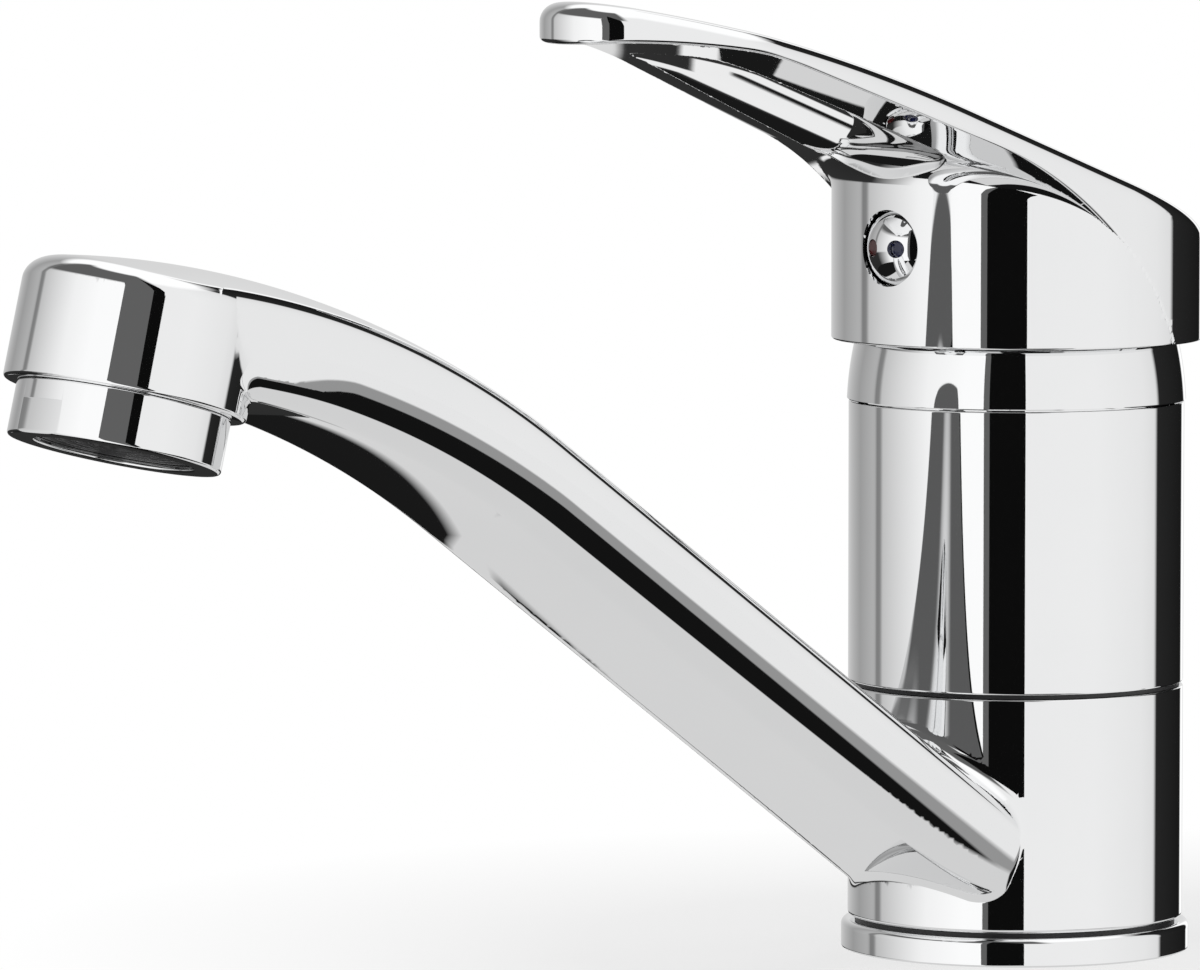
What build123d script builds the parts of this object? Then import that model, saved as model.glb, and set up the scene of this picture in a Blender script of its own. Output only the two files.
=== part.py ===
from build123d import *
import math
import os

# Single-lever basin mixer with a swivel spout, in millimetres.
# +Z is up. The origin is on the deck, at the middle of the column's underside.
# The spout and the lever point along -Y, and the handle is in its closed, middle position.

# Clearances
RUNNING_FIT = 0.05
LOOSE_FIT = 0.2
FACE_GAP = 0.05
SEAM = 0.2

# How far a cutter passes the face it opens, and how far a blank passes what is kept of it
OVERCUT = 1.0
PAST = 10.0

# Cartridge, 35 mm size
cartridge_radius = 17.4
cartridge_floor_height = 9.1
cartridge_base_height = 3.4
fixed_disc_height = 3.15
moving_disc_height = 3.2
mixing_pocket_radius = 6.3
mixing_pocket_offset = 1.2
mixing_pocket_depth = 1.6
carrier_height = 4.1
carrier_floor = 1.0
housing_wall = 1.9
housing_roof = 4.0
housing_neck_wall = 2.3
housing_neck_height = 11.0
holder_radius = 9.5
holder_flange_width = 3.1
holder_flange_height = 1.6
holder_ear_height = 10.0
pivot_height = 4.25
pivot_pin_radius = 1.5
lift_angle_deg = 25.0
stem_width = 8.0
stem_chamfer = 0.8
stem_ball_radius = 2.6
stem_waist_radius = 2.0
stem_square_below_pivot = 5.1

# Water ports and the passages to them
inlet_spread = 5.9
inlet_setback = 5.9
mixed_setback = 5.0
passage_radius = 3.0
inlet_port_radius = 2.2
mixed_port_radius = 3.4
port_seal_radius = 4.4
port_seal_width = 1.2
port_seal_height = 1.0
hose_thread_radius = 4.46
hose_thread_depth = 12.0
stud_thread_radius = 3.32
stud_thread_depth = 14.0
stud_wall = 1.0

# Cartridge nut
nut_step = 1.5
nut_height = 10.4
nut_drive_height = 2.6
nut_drive_inset = 0.4

# Main body and the column under it
neck_wall = 2.25
neck_lip = 0.55
neck_height = 4.0
body_shoulder = 1.8
seal_section = 2.4
seal_groove_depth = 2.0
seal_groove_width = 2.7
lower_seal_height = 3.8
upper_seal_drop = 5.1
water_groove_height = 11.0
water_groove_depth = 2.6

# Base ring, its gasket and the slide rings
base_ring_height = 3.9
base_ring_overhang = 0.9
base_ring_shoulder = 0.9
gasket_inset = 1.6
gasket_width = 2.8
gasket_thickness = 1.2
slide_ring_thickness = 0.45
slide_ring_recess = 1.0
upper_ring_thickness = 0.55
upper_ring_recess = 0.5

# Spout ring and arm
spout_ring_wall = 5.15
spout_ring_height = 31.9
ring_edge_round = 0.5
arm_root_rise = 20.0
arm_root_inset = 11.0
arm_root_half_width = 16.5
arm_head_half_width = 15.2
arm_slope_deg = 33.4
arm_straight_reach = 100.0
arm_bend_radius = 146.0
arm_depth = 12.8
arm_root_crown = 4.2
arm_head_crown = 3.2
arm_side_radius = 30.0
arm_side_turn_deg = 19.0
arm_edge_round = 1.5
arm_root_round = 1.6
waterway_radius = 4.5

# Spout head, tilted back towards the body
outlet_reach = 164.0
outlet_drop = 21.6
outlet_tilt_deg = 15.0
head_radius = 15.5
head_height = 13.0

# Aerator
aerator_radius = 13.65
aerator_collar_height = 7.0
aerator_thread_radius = 12.0
aerator_thread_height = 5.5
aerator_wall = 1.1
aerator_lip = 0.7
aerator_lip_height = 0.8
flat_depth = 0.5
flat_height = 4.4
insert_height = 9.4
insert_ring_wall = 0.9
insert_ring_pitch = 2.25
insert_ring_depth = 3.0
insert_hub_radius = 1.3
insert_rib_width = 0.8
screen_thickness = 0.5
screen_hole_radius = 0.65
screen_hole_pitch = 2.1
screen_hole_rows = 4
outlet_gasket_height = 1.8
outlet_gasket_width = 2.6

# Dome cap between the body and the hood
dome_swell = 0.24
dome_draw = 0.8
dome_side_height = 8.0
dome_top_radius = 17.5
dome_rise = 7.3
dome_hole_radius = 15.0
dome_wall = 1.5

# Handle: hood over the dome, and the lever paddle
hood_clearance = 0.6
hood_wall = 1.8
skirt_height = 8.5
lever_mid_reach = 60.0
lever_mid_radius = 17.4
lever_tip_run = 16.5
lever_tip_radius = 10.0
top_height = 22.4
top_slope_deg = 20.4
top_crown = 1.2
top_straight_reach = 30.0
top_bend_radius = 290.0
top_edge_round = 2.4
rear_round = 8.0
rear_break_deg = 25.0
under_height = 16.8
under_slope_deg = 20.8
under_straight_start = 28.0
under_straight_end = 58.0
under_hood_bend_radius = 60.0
under_tip_bend_radius = 80.0
cavity_roof = 3.4
cavity_height = 20.7
pocket_rim = 4.0
pocket_hood_reach = 35.0
pocket_mid_setback = 8.0
pocket_tip_run = 8.0
pocket_tip_radius = 9.5
pocket_hood_depth = 1.6
pocket_tip_depth = 0.5
stem_boss_radius = 7.5
stem_boss_height = 9.2
stem_socket_depth = 8.6

# Index plug and the screw behind it
index_height = 13.3
plug_radius = 5.0
plug_dome_height = 2.2
plug_rim_inset = 1.1
plug_seat_depth = 2.6
plug_stem_radius = 3.9
plug_stem_length = 2.2
dot_radius = 1.2
dot_spacing = 4.3
dot_inset = 1.0
dot_thickness = 0.7
screw_boss_radius = 5.9
grub_radius = 2.9
grub_length = 8.0
grub_key_width = 3.0
grub_key_depth = 3.0

# Radii, worked outwards from the cartridge
housing_inner_radius = cartridge_radius - housing_wall
housing_neck_radius = holder_radius + RUNNING_FIT + housing_neck_wall
nut_radius = cartridge_radius + nut_step
nut_inner_radius = housing_neck_radius + LOOSE_FIT
neck_radius = nut_radius + RUNNING_FIT + neck_wall
body_radius = neck_radius + body_shoulder
column_radius = body_radius - spout_ring_wall - RUNNING_FIT
column_bore_radius = column_radius + RUNNING_FIT
seal_groove_radius = column_radius - seal_groove_depth
base_ring_radius = body_radius + base_ring_overhang
hood_inner_radius = body_radius + hood_clearance
hood_radius = hood_inner_radius + hood_wall
aerator_bore_radius = aerator_thread_radius - aerator_wall

# Reaches of the lever and its pocket, worked outwards from the body's axis
lever_tip_reach = lever_mid_reach + lever_tip_run
pocket_mid_reach = lever_mid_reach - pocket_mid_setback
pocket_tip_reach = pocket_mid_reach + pocket_tip_run
pocket_half_width = lever_mid_radius - pocket_rim

# Heights, worked upwards from the deck
ring_bottom_z = base_ring_height + slide_ring_thickness + FACE_GAP
ring_top_z = ring_bottom_z + spout_ring_height
shoulder_z = ring_top_z + FACE_GAP + upper_ring_thickness
cartridge_floor_z = shoulder_z + cartridge_floor_height
base_top_z = cartridge_floor_z + cartridge_base_height
fixed_disc_top_z = base_top_z + fixed_disc_height
moving_disc_z = fixed_disc_top_z + FACE_GAP
carrier_z = moving_disc_z + moving_disc_height
carrier_top_z = carrier_z + carrier_height
holder_z = carrier_top_z + LOOSE_FIT
holder_bridge_z = holder_z + holder_flange_height
housing_top_z = holder_bridge_z + FACE_GAP + housing_roof
lift_pivot_z = housing_top_z + pivot_height
stem_ball_z = carrier_z + carrier_floor + stem_ball_radius + LOOSE_FIT
nut_drive_z = housing_top_z + nut_height
nut_top_z = nut_drive_z + nut_drive_height
neck_top_z = nut_top_z + neck_lip
body_top_z = neck_top_z - neck_height
dome_top_z = neck_top_z + dome_rise
skirt_z = body_top_z + skirt_height
stem_boss_z = skirt_z + stem_boss_height
socket_top_z = stem_boss_z + stem_socket_depth
index_z = skirt_z + index_height

# The moving disc's travel, from the stem's swing
disc_stroke = (lift_pivot_z - stem_ball_z) * math.sin(math.radians(lift_angle_deg))
moving_disc_offset = disc_stroke / 2
moving_disc_radius = housing_inner_radius - moving_disc_offset - LOOSE_FIT

# Seals, grooves and passages in the column
lower_seal_z = ring_bottom_z + lower_seal_height
upper_seal_z = ring_top_z - upper_seal_drop
water_groove_z = (lower_seal_z + upper_seal_z - water_groove_height) / 2 - seal_section
mixed_passage_z = water_groove_z + water_groove_height / 2
port_places = [(-inlet_spread, -inlet_setback), (inlet_spread, -inlet_setback), (0, mixed_setback)]
stud_setback = seal_groove_radius - stud_wall - stud_thread_radius


def cylinder_between(radius, low, high, x=0.0, y=0.0):
    return Pos(x, y, low) * Cylinder(radius, high - low, align=(Align.CENTER, Align.CENTER, Align.MIN))


def ring_between(outer, inner, low, high, x=0.0, y=0.0):
    hole = cylinder_between(inner, low - OVERCUT, high + OVERCUT, x, y)
    return cylinder_between(outer, low, high, x, y) - hole


def block_between(low, high):
    size = [h - l for l, h in zip(low, high)]
    return Pos(*low) * Box(*size, align=(Align.MIN, Align.MIN, Align.MIN))


def hexagon_between(across_corners, low, high):
    return Pos(0, 0, low) * extrude(RegularPolygon(across_corners / 2, 6), high - low)


def from_side(points_and_bends, half_width):
    """A solid as wide as twice half_width, from the edges of its outline seen from the side."""
    return extrude(Plane.YZ * make_face(points_and_bends), half_width, both=True)


def turned(edges):
    """A solid of revolution about Z, from the edges of its half section as (radius, height)."""
    return revolve(Plane.XZ * make_face(edges), Axis.Z)


def base_ring():
    ring = ring_between(base_ring_radius, column_bore_radius, 0, base_ring_height)
    rims = ring.edges().filter_by(GeomType.CIRCLE).group_by(Axis.Z)[-1].sort_by(SortBy.LENGTH)
    ring = fillet(rims[-1], base_ring_shoulder)
    outer = base_ring_radius - gasket_inset
    return ring - ring_between(outer, outer - gasket_width, -OVERCUT, gasket_thickness)


def base_gasket():
    outer = base_ring_radius - gasket_inset - RUNNING_FIT
    return ring_between(outer, outer - gasket_width + 2 * RUNNING_FIT, 0, gasket_thickness)


def lower_slide_ring():
    outer = body_radius - slide_ring_recess
    top = base_ring_height + slide_ring_thickness
    return ring_between(outer, column_bore_radius, base_ring_height, top)


def upper_slide_ring():
    outer = body_radius - upper_ring_recess
    return ring_between(outer, column_bore_radius, shoulder_z - upper_ring_thickness, shoulder_z)


def spout_seal(z):
    low = z - seal_section / 2
    outer = column_radius + RUNNING_FIT / 2
    seal = ring_between(outer, seal_groove_radius + RUNNING_FIT, low, low + seal_section)
    rims = seal.edges().filter_by(GeomType.CIRCLE).sort_by(SortBy.LENGTH)[-2:]
    return fillet(rims, seal_section / 4)


def seal_groove(z):
    low = z - seal_groove_width / 2
    return ring_between(column_radius + OVERCUT, seal_groove_radius, low, low + seal_groove_width)


def column_passages():
    """The two hose ports, the stud hole, and the mixed water's way from the cartridge to the groove."""
    top = cartridge_floor_z + OVERCUT
    holes = cylinder_between(stud_thread_radius, -OVERCUT, stud_thread_depth, 0, stud_setback)
    for x, y in port_places[:2]:
        holes += cylinder_between(hose_thread_radius, -OVERCUT, hose_thread_depth, x, y)
        holes += cylinder_between(passage_radius, 0, top, x, y)
    holes += cylinder_between(passage_radius, mixed_passage_z, top, 0, mixed_setback)
    across = Rot(-90, 0, 0) * cylinder_between(passage_radius, 0, column_radius - mixed_setback + OVERCUT)
    return holes + Pos(0, mixed_setback, mixed_passage_z) * across


def main_body():
    body = cylinder_between(column_radius, 0, shoulder_z)
    body += cylinder_between(body_radius, shoulder_z, body_top_z)
    body += cylinder_between(neck_radius, body_top_z, neck_top_z)
    body -= cylinder_between(cartridge_radius + RUNNING_FIT, cartridge_floor_z, neck_top_z + OVERCUT)
    body -= cylinder_between(nut_radius + RUNNING_FIT, housing_top_z, neck_top_z + OVERCUT)
    body -= seal_groove(lower_seal_z)
    body -= seal_groove(upper_seal_z)
    groove_inner = column_radius - water_groove_depth
    groove_top = water_groove_z + water_groove_height
    body -= ring_between(column_radius + OVERCUT, groove_inner, water_groove_z, groove_top)
    return body - column_passages()


def cartridge_base():
    base = cylinder_between(cartridge_radius, cartridge_floor_z, base_top_z)
    low = cartridge_floor_z - OVERCUT
    seal_top = cartridge_floor_z + port_seal_height
    for x, y in port_places:
        base -= cylinder_between(passage_radius, low, base_top_z + OVERCUT, x, y)
        base -= cylinder_between(port_seal_radius, low, seal_top, x, y)
    return base


def port_seals():
    outer = port_seal_radius - RUNNING_FIT
    top = cartridge_floor_z + port_seal_height
    inner = outer - port_seal_width
    return Compound([ring_between(outer, inner, cartridge_floor_z, top, x, y) for x, y in port_places])


def fixed_ceramic_disc():
    disc = cylinder_between(housing_inner_radius - LOOSE_FIT, base_top_z, fixed_disc_top_z)
    radii = (inlet_port_radius, inlet_port_radius, mixed_port_radius)
    for radius, (x, y) in zip(radii, port_places):
        disc -= cylinder_between(radius, base_top_z - OVERCUT, fixed_disc_top_z + OVERCUT, x, y)
    return disc


def moving_ceramic_disc():
    disc = cylinder_between(moving_disc_radius, moving_disc_z, carrier_z, 0, moving_disc_offset)
    pocket_y = moving_disc_offset + mixing_pocket_offset
    pocket_top = moving_disc_z + mixing_pocket_depth
    return disc - cylinder_between(mixing_pocket_radius, moving_disc_z - OVERCUT, pocket_top, 0, pocket_y)


def disc_carrier():
    carrier = cylinder_between(moving_disc_radius, carrier_z, carrier_top_z, 0, moving_disc_offset)
    hole = stem_ball_radius + LOOSE_FIT
    return carrier - cylinder_between(hole, carrier_z + carrier_floor, carrier_top_z + OVERCUT)


def cartridge_housing():
    housing = cylinder_between(cartridge_radius, base_top_z, housing_top_z)
    neck_top = housing_top_z + housing_neck_height
    housing += cylinder_between(housing_neck_radius, housing_top_z, neck_top)
    housing -= cylinder_between(housing_inner_radius, base_top_z - OVERCUT, housing_top_z - housing_roof)
    return housing - cylinder_between(holder_radius + RUNNING_FIT, base_top_z, neck_top + OVERCUT)


def pivot_hole(half_length):
    hole = cylinder_between(pivot_pin_radius + RUNNING_FIT, -half_length, half_length)
    return Pos(0, 0, lift_pivot_z) * Rot(0, 90, 0) * hole


def stem_holder():
    flange_radius = holder_radius + holder_flange_width
    top = lift_pivot_z + holder_ear_height
    holder = cylinder_between(flange_radius, holder_z, holder_bridge_z)
    holder += cylinder_between(holder_radius, holder_z, top)
    slot = stem_width / 2 + LOOSE_FIT
    reach = flange_radius + OVERCUT
    holder -= block_between((-slot, -reach, holder_bridge_z), (slot, reach, top + OVERCUT))
    ball_slot = stem_ball_radius + LOOSE_FIT
    ball_low = (-ball_slot, -disc_stroke - ball_slot, holder_z - OVERCUT)
    holder -= block_between(ball_low, (ball_slot, ball_slot, holder_bridge_z + OVERCUT))
    return holder - pivot_hole(reach)


def pivot_pin():
    half = holder_radius - LOOSE_FIT
    return Pos(0, 0, lift_pivot_z) * Rot(0, 90, 0) * cylinder_between(pivot_pin_radius, -half, half)


def lever_stem():
    half = stem_width / 2
    square_z = lift_pivot_z - stem_square_below_pivot
    stem = block_between((-half, -half, square_z), (half, half, socket_top_z - LOOSE_FIT))
    stem = chamfer(stem.faces().sort_by(Axis.Z)[-1].edges(), stem_chamfer)
    stem += cylinder_between(stem_waist_radius, stem_ball_z, square_z)
    stem += Pos(0, 0, stem_ball_z) * Sphere(stem_ball_radius)
    return stem - pivot_hole(stem_width)


def cartridge_nut():
    nut = cylinder_between(nut_radius, housing_top_z, nut_drive_z)
    nut += hexagon_between(2 * (nut_radius - nut_drive_inset), nut_drive_z, nut_top_z)
    return nut - cylinder_between(nut_inner_radius, housing_top_z - OVERCUT, nut_top_z + OVERCUT)


def dome_blank(inset):
    """The dome as a solid, drawn in by inset all round and at the top."""
    low = body_top_z + SEAM
    waist_z = low + dome_side_height
    base = (body_radius + dome_swell - inset, low)
    bulge = (body_radius - inset, low + dome_side_height * 0.4)
    waist = (body_radius - dome_draw - inset, waist_z)
    crown = (dome_top_radius - inset, dome_top_z - inset)
    side = ThreePointArc(base, bulge, waist)
    shoulder = TangentArc(waist, crown, tangent=side % 1)
    top = Line(crown, (0, crown[1]))
    middle = Line((0, crown[1]), (0, low))
    return turned([side, shoulder, top, middle, Line((0, low), base)])


def dome_cap():
    dome = dome_blank(0) - dome_blank(dome_wall)
    return dome - cylinder_between(dome_hole_radius, body_top_z, dome_top_z + OVERCUT)


def tapered_outline(reaches, radii):
    """The plan outline round circles set along -Y, joined by the straight lines that touch them."""
    last = len(reaches) - 1
    turns = []
    for i in range(last):
        turns.append(math.asin((radii[i] - radii[i + 1]) / (reaches[i + 1] - reaches[i])))

    def rim_point(i, turn, side=1):
        return (side * radii[i] * math.cos(turn), -reaches[i] - radii[i] * math.sin(turn))

    edges = []
    for side in (-1, 1):
        for i in range(last):
            edges.append(Line(rim_point(i, turns[i], side), rim_point(i + 1, turns[i], side)))
        for i in range(1, last):
            middle = rim_point(i, (turns[i - 1] + turns[i]) / 2, side)
            edges.append(ThreePointArc(rim_point(i, turns[i - 1], side), middle, rim_point(i, turns[i], side)))
    back = rim_point(0, -math.pi / 2)
    tip = rim_point(last, math.pi / 2)
    edges.append(ThreePointArc(rim_point(0, turns[0], -1), back, rim_point(0, turns[0])))
    edges.append(ThreePointArc(rim_point(last, turns[-1]), tip, rim_point(last, turns[-1], -1)))
    return make_face(edges)


def arc_height(run, slope_deg, radius):
    """How far an arc that starts at a slope, and levels off with run, rises over that run."""
    start = math.radians(slope_deg)
    end = math.asin(math.sin(start) - run / radius)
    return radius * (math.cos(end) - math.cos(start))


def lever_top_z(reach):
    """The handle's crest: a straight rise from the back, then an arc that levels off."""
    straight = min(reach, top_straight_reach)
    z = skirt_z + top_height + straight * math.tan(math.radians(top_slope_deg))
    return z + arc_height(reach - straight, top_slope_deg, top_bend_radius)


def below_lever_top(drop):
    """Everything under the handle's crowned top surface, lowered by drop."""
    rear = -hood_radius - PAST
    end = lever_tip_reach + lever_tip_radius + PAST
    crest = [(-reach, lever_top_z(reach) - drop) for reach in (rear, top_straight_reach, end)]
    middle_reach = (top_straight_reach + end) / 2
    middle = (-middle_reach, lever_top_z(middle_reach) - drop)
    path = Plane.YZ * (Line(crest[0], crest[1]) + ThreePointArc(crest[1], middle, crest[2]))
    half = hood_radius + PAST
    sag = top_crown * (half / hood_radius) ** 2
    depth = lever_top_z(end) - skirt_z + PAST
    section = make_face([
        ThreePointArc((-half, -sag), (0, 0), (half, -sag)),
        Line((half, -sag), (half, -depth)),
        Line((half, -depth), (-half, -depth)),
        Line((-half, -depth), (-half, -sag)),
    ])
    start = Plane(origin=path @ 0, x_dir=(1, 0, 0), z_dir=path % 0)
    flip = -1 if start.y_dir.Z < 0 else 1
    return sweep(start * scale(section, (1, flip, 1)), path=path)


def rear_shoulder():
    """What comes off the hood's rear top corner, to leave it round."""
    slope = math.radians(top_slope_deg)
    wall = hood_radius + rear_round * (1 - math.cos(math.radians(rear_break_deg)))
    centre_y = wall - rear_round
    crest_at_centre = lever_top_z(-centre_y)
    centre_z = crest_at_centre - rear_round / math.cos(slope)
    lean = math.pi / 4 + slope / 2
    on_top = (centre_y + rear_round * math.sin(slope), centre_z + rear_round * math.cos(slope))
    on_round = (centre_y + rear_round * math.sin(lean), centre_z + rear_round * math.cos(lean))
    on_wall = (wall, centre_z)
    out = wall + rear_round
    up = crest_at_centre + rear_round
    edges = [ThreePointArc(on_top, on_round, on_wall), Line(on_wall, (out, centre_z))]
    edges += [Line((out, centre_z), (out, up)), Line((out, up), (on_top[0], up)), Line((on_top[0], up), on_top)]
    return from_side(edges, hood_radius + PAST)


def under_paddle():
    """The space below the paddle's underside, in front of the body's axis."""
    slope = math.tan(math.radians(under_slope_deg))
    ends = (under_straight_start, under_straight_end)
    straight = [(-reach, skirt_z + under_height + slope * reach) for reach in ends]
    hood_side = []
    for run in (under_straight_start / 2, under_straight_start):
        steeper = math.asin(math.sin(math.radians(under_slope_deg)) + run / under_hood_bend_radius)
        fall = arc_height(run, math.degrees(steeper), under_hood_bend_radius)
        hood_side.append((straight[0][0] + run, straight[0][1] - fall))
    tip_side = []
    tip_run = under_tip_bend_radius * math.sin(math.radians(under_slope_deg))
    for run in (tip_run / 2, tip_run):
        rise = arc_height(run, under_slope_deg, under_tip_bend_radius)
        tip_side.append((straight[1][0] - run, straight[1][1] + rise))
    far = (tip_side[1][0] - lever_tip_reach, tip_side[1][1])
    low = skirt_z - PAST
    outline = [
        ThreePointArc(hood_side[1], hood_side[0], straight[0]),
        Line(straight[0], straight[1]),
        ThreePointArc(straight[1], tip_side[0], tip_side[1]),
        Line(tip_side[1], far),
        Line(far, (far[0], low)),
        Line((far[0], low), (0, low)),
        Line((0, low), hood_side[1]),
    ]
    return from_side(outline, hood_radius + PAST)


def hood_core():
    """The hood's own cylinder, without the paddle. Its seam is turned off the handle's middle plane."""
    return Rot(0, 0, 90) * cylinder_between(hood_radius, skirt_z - PAST, lever_top_z(lever_tip_reach))


def lever_pocket():
    """The shallow teardrop recess in the paddle's underside. It stops at the hood."""
    plan = tapered_outline(
        [pocket_hood_reach, pocket_mid_reach, pocket_tip_reach],
        [pocket_half_width, pocket_half_width, pocket_tip_radius],
    )
    slope = math.tan(math.radians(under_slope_deg))
    ends = []
    for reach, depth in ((under_straight_start, pocket_hood_depth), (under_straight_end, pocket_tip_depth)):
        ends.append((-reach, skirt_z + under_height + slope * reach + depth))
    run = ends[1][0] - ends[0][0]
    rise = ends[1][1] - ends[0][1]
    ends = [(ends[0][0] - run, ends[0][1] - rise), (ends[1][0] + run, ends[1][1] + rise)]
    foot = (ends[0][0], skirt_z)
    far_foot = (ends[1][0], skirt_z)
    outline = [Line(ends[0], ends[1]), Line(ends[1], far_foot), Line(far_foot, foot), Line(foot, ends[0])]
    pocket = extrude(Pos(0, 0, skirt_z) * plan, lever_top_z(lever_tip_reach) - skirt_z)
    return (pocket & from_side(outline, hood_radius + PAST)) - hood_core()


def handle_blank():
    """The handle's outside: the tapered plan, the crowned top, the round rear and the paddle's underside."""
    plan = tapered_outline(
        [0, lever_mid_reach, lever_tip_reach],
        [hood_radius, lever_mid_radius, lever_tip_radius],
    )
    high = lever_top_z(lever_tip_reach) + PAST
    blank = extrude(Pos(0, 0, skirt_z) * plan, high - skirt_z)
    blank = (blank & below_lever_top(0)) - rear_shoulder()
    top_faces = [face for face in blank.faces() if face.normal_at(face.center()).Z > 0.3]
    top_edges = [edge for face in top_faces for edge in face.edges()]
    rim = [edge for edge in top_edges if sum(edge.is_same(other) for other in top_edges) == 1]
    blank = fillet(rim, top_edge_round)
    flank_start = hood_radius * (hood_radius - lever_mid_radius) / lever_mid_reach
    wide = hood_radius + PAST
    far = lever_tip_reach + lever_tip_radius + PAST
    in_front = block_between((-wide, -far, 0), (wide, -flank_start, high))
    return blank - ((under_paddle() & in_front) - hood_core())


def to_front(solid):
    """Turns what was made along Z to point out of the hood's front, at the index plug's height."""
    return Pos(0, 0, index_z) * Rot(90, 0, 0) * solid


def handle():
    blank = handle_blank()
    cavity = cylinder_between(hood_inner_radius, skirt_z - OVERCUT, skirt_z + cavity_height)
    cavity = cavity & below_lever_top(cavity_roof)
    boss = cylinder_between(stem_boss_radius, stem_boss_z, skirt_z + top_height)
    boss += to_front(cylinder_between(screw_boss_radius, 0, hood_radius - hood_wall / 2))
    blank -= cavity - boss
    blank -= lever_pocket()
    half = stem_width / 2 + RUNNING_FIT
    blank -= block_between((-half, -half, skirt_z), (half, half, socket_top_z))
    seat = hood_radius - plug_seat_depth
    blank -= to_front(cylinder_between(plug_radius + LOOSE_FIT, seat, hood_radius + OVERCUT))
    blank -= to_front(cylinder_between(plug_stem_radius + LOOSE_FIT, seat - plug_stem_length - LOOSE_FIT, seat))
    return blank - to_front(cylinder_between(grub_radius + RUNNING_FIT, 0, seat))


def index_plug():
    seat = hood_radius - plug_seat_depth
    rim = hood_radius - plug_rim_inset
    top = rim + plug_dome_height
    ball_radius = (plug_radius**2 + plug_dome_height**2) / (2 * plug_dome_height)
    half_turn = math.asin(plug_radius / ball_radius) / 2
    on_dome = (ball_radius * math.sin(half_turn), top - ball_radius * (1 - math.cos(half_turn)))
    corners = [(0, top), (0, seat - plug_stem_length), (plug_stem_radius, seat - plug_stem_length)]
    corners += [(plug_stem_radius, seat), (plug_radius, seat), (plug_radius, rim)]
    sides = [Line(a, b) for a, b in zip(corners, corners[1:])]
    plug = turned([ThreePointArc((plug_radius, rim), on_dome, (0, top))] + sides)
    for side in (-1, 1):
        plug -= cylinder_between(dot_radius, dot_seat_z(), top + OVERCUT, side * dot_spacing / 2)
    return to_front(plug)


def dot_seat_z():
    return hood_radius - plug_rim_inset + plug_dome_height - dot_inset - dot_thickness / 2


def index_dot(side):
    low = dot_seat_z()
    return to_front(cylinder_between(dot_radius - RUNNING_FIT, low, low + dot_thickness, side * dot_spacing / 2))


def grub_screw():
    low = stem_width / 2
    top = low + grub_length
    screw = cylinder_between(grub_radius, low, top)
    across_corners = grub_key_width / math.cos(math.radians(30))
    return to_front(screw - hexagon_between(across_corners, top - grub_key_depth, top + OVERCUT))


def arm_edge_z(reach):
    """Height of the arm's long top edges: a straight rise, then an arc that levels off."""
    straight = min(reach, arm_straight_reach)
    slope = math.tan(math.radians(arm_slope_deg))
    z = ring_bottom_z + arm_root_rise + slope * (straight - body_radius)
    return z + arc_height(reach - straight, arm_slope_deg, arm_bend_radius)


def arm_crown(reach):
    share = (reach - body_radius) / (outlet_reach - body_radius)
    return arm_root_crown + (arm_head_crown - arm_root_crown) * share


def arm_section(reach):
    """The arm's outline in an upright plane: crowned top, bowed sides and round lower corners."""
    share = (reach - body_radius) / (outlet_reach - body_radius)
    half = arm_root_half_width + (arm_head_half_width - arm_root_half_width) * share
    turn = math.radians(arm_side_turn_deg)
    corner_radius = (arm_depth - arm_side_radius * math.sin(turn)) / (1 - math.sin(turn))
    flat_half = half - arm_side_radius * (1 - math.cos(turn)) - corner_radius * math.cos(turn)

    def side_point(angle):
        return (half - arm_side_radius * (1 - math.cos(angle)), -arm_side_radius * math.sin(angle))

    def corner_point(angle):
        x = flat_half + corner_radius * math.cos(angle)
        return (x, corner_radius * (1 - math.sin(angle)) - arm_depth)

    corner_middle = corner_point((turn + math.pi / 2) / 2)
    right = [(half, 0), side_point(turn / 2), side_point(turn), corner_middle, (flat_half, -arm_depth)]
    left = [(-x, z) for x, z in right]
    edges = [ThreePointArc(left[0], (0, arm_crown(reach)), right[0]), Line(right[4], left[4])]
    for side in (right, left):
        edges.append(ThreePointArc(side[0], side[1], side[2]))
        edges.append(ThreePointArc(side[2], side[3], side[4]))
    plane = Plane(origin=(0, -reach, arm_edge_z(reach)), x_dir=(1, 0, 0), z_dir=(0, -1, 0))
    return plane * make_face(edges)


def to_outlet(solid):
    """Turns and moves what was made along Z to stand on the outlet, along the head's tilted axis."""
    outlet_z = arm_edge_z(outlet_reach) - outlet_drop
    return Pos(0, -outlet_reach, outlet_z) * Rot(-outlet_tilt_deg, 0, 0) * solid


def arm():
    inner = arm_root_inset
    front = outlet_reach + head_radius + PAST
    bend_reaches = [arm_straight_reach + (front - arm_straight_reach) * i / 5 for i in range(1, 6)]
    straight_reaches = [inner + (arm_straight_reach - inner) * i / 4 for i in range(5)]
    blank = loft([arm_section(reach) for reach in straight_reaches + bend_reaches])
    far = outlet_reach * 2
    kept = cylinder_between(head_radius, aerator_collar_height, far)
    kept += block_between((-far, 0, -far), (far, far, far))
    blank &= to_outlet(kept)
    blank -= to_outlet(block_between((-far, -far, -far), (far, head_radius, aerator_collar_height)))
    top = [face for face in blank.faces() if face.normal_at(face.center()).Z > 0.5][0]
    rim = top.edges().sort_by(Axis.Y)[:3]
    blank = fillet(rim, arm_edge_round)
    return blank - cylinder_between(body_radius, -outlet_reach, ring_bottom_z + ring_edge_round)


def waterway():
    """The passage from the column's groove, up the arm, to the chamber over the aerator."""
    points = []
    for reach in (column_radius - passage_radius, arm_straight_reach, outlet_reach - waterway_radius):
        points.append((0, -reach, arm_edge_z(reach) + (arm_crown(reach) - arm_depth) / 2))
    straight = Line(points[0], points[1])
    path = straight + TangentArc(points[1], points[2], tangent=straight % 1)
    return sweep(Plane(origin=path @ 0, z_dir=path % 0) * Circle(waterway_radius), path=path)


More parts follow.
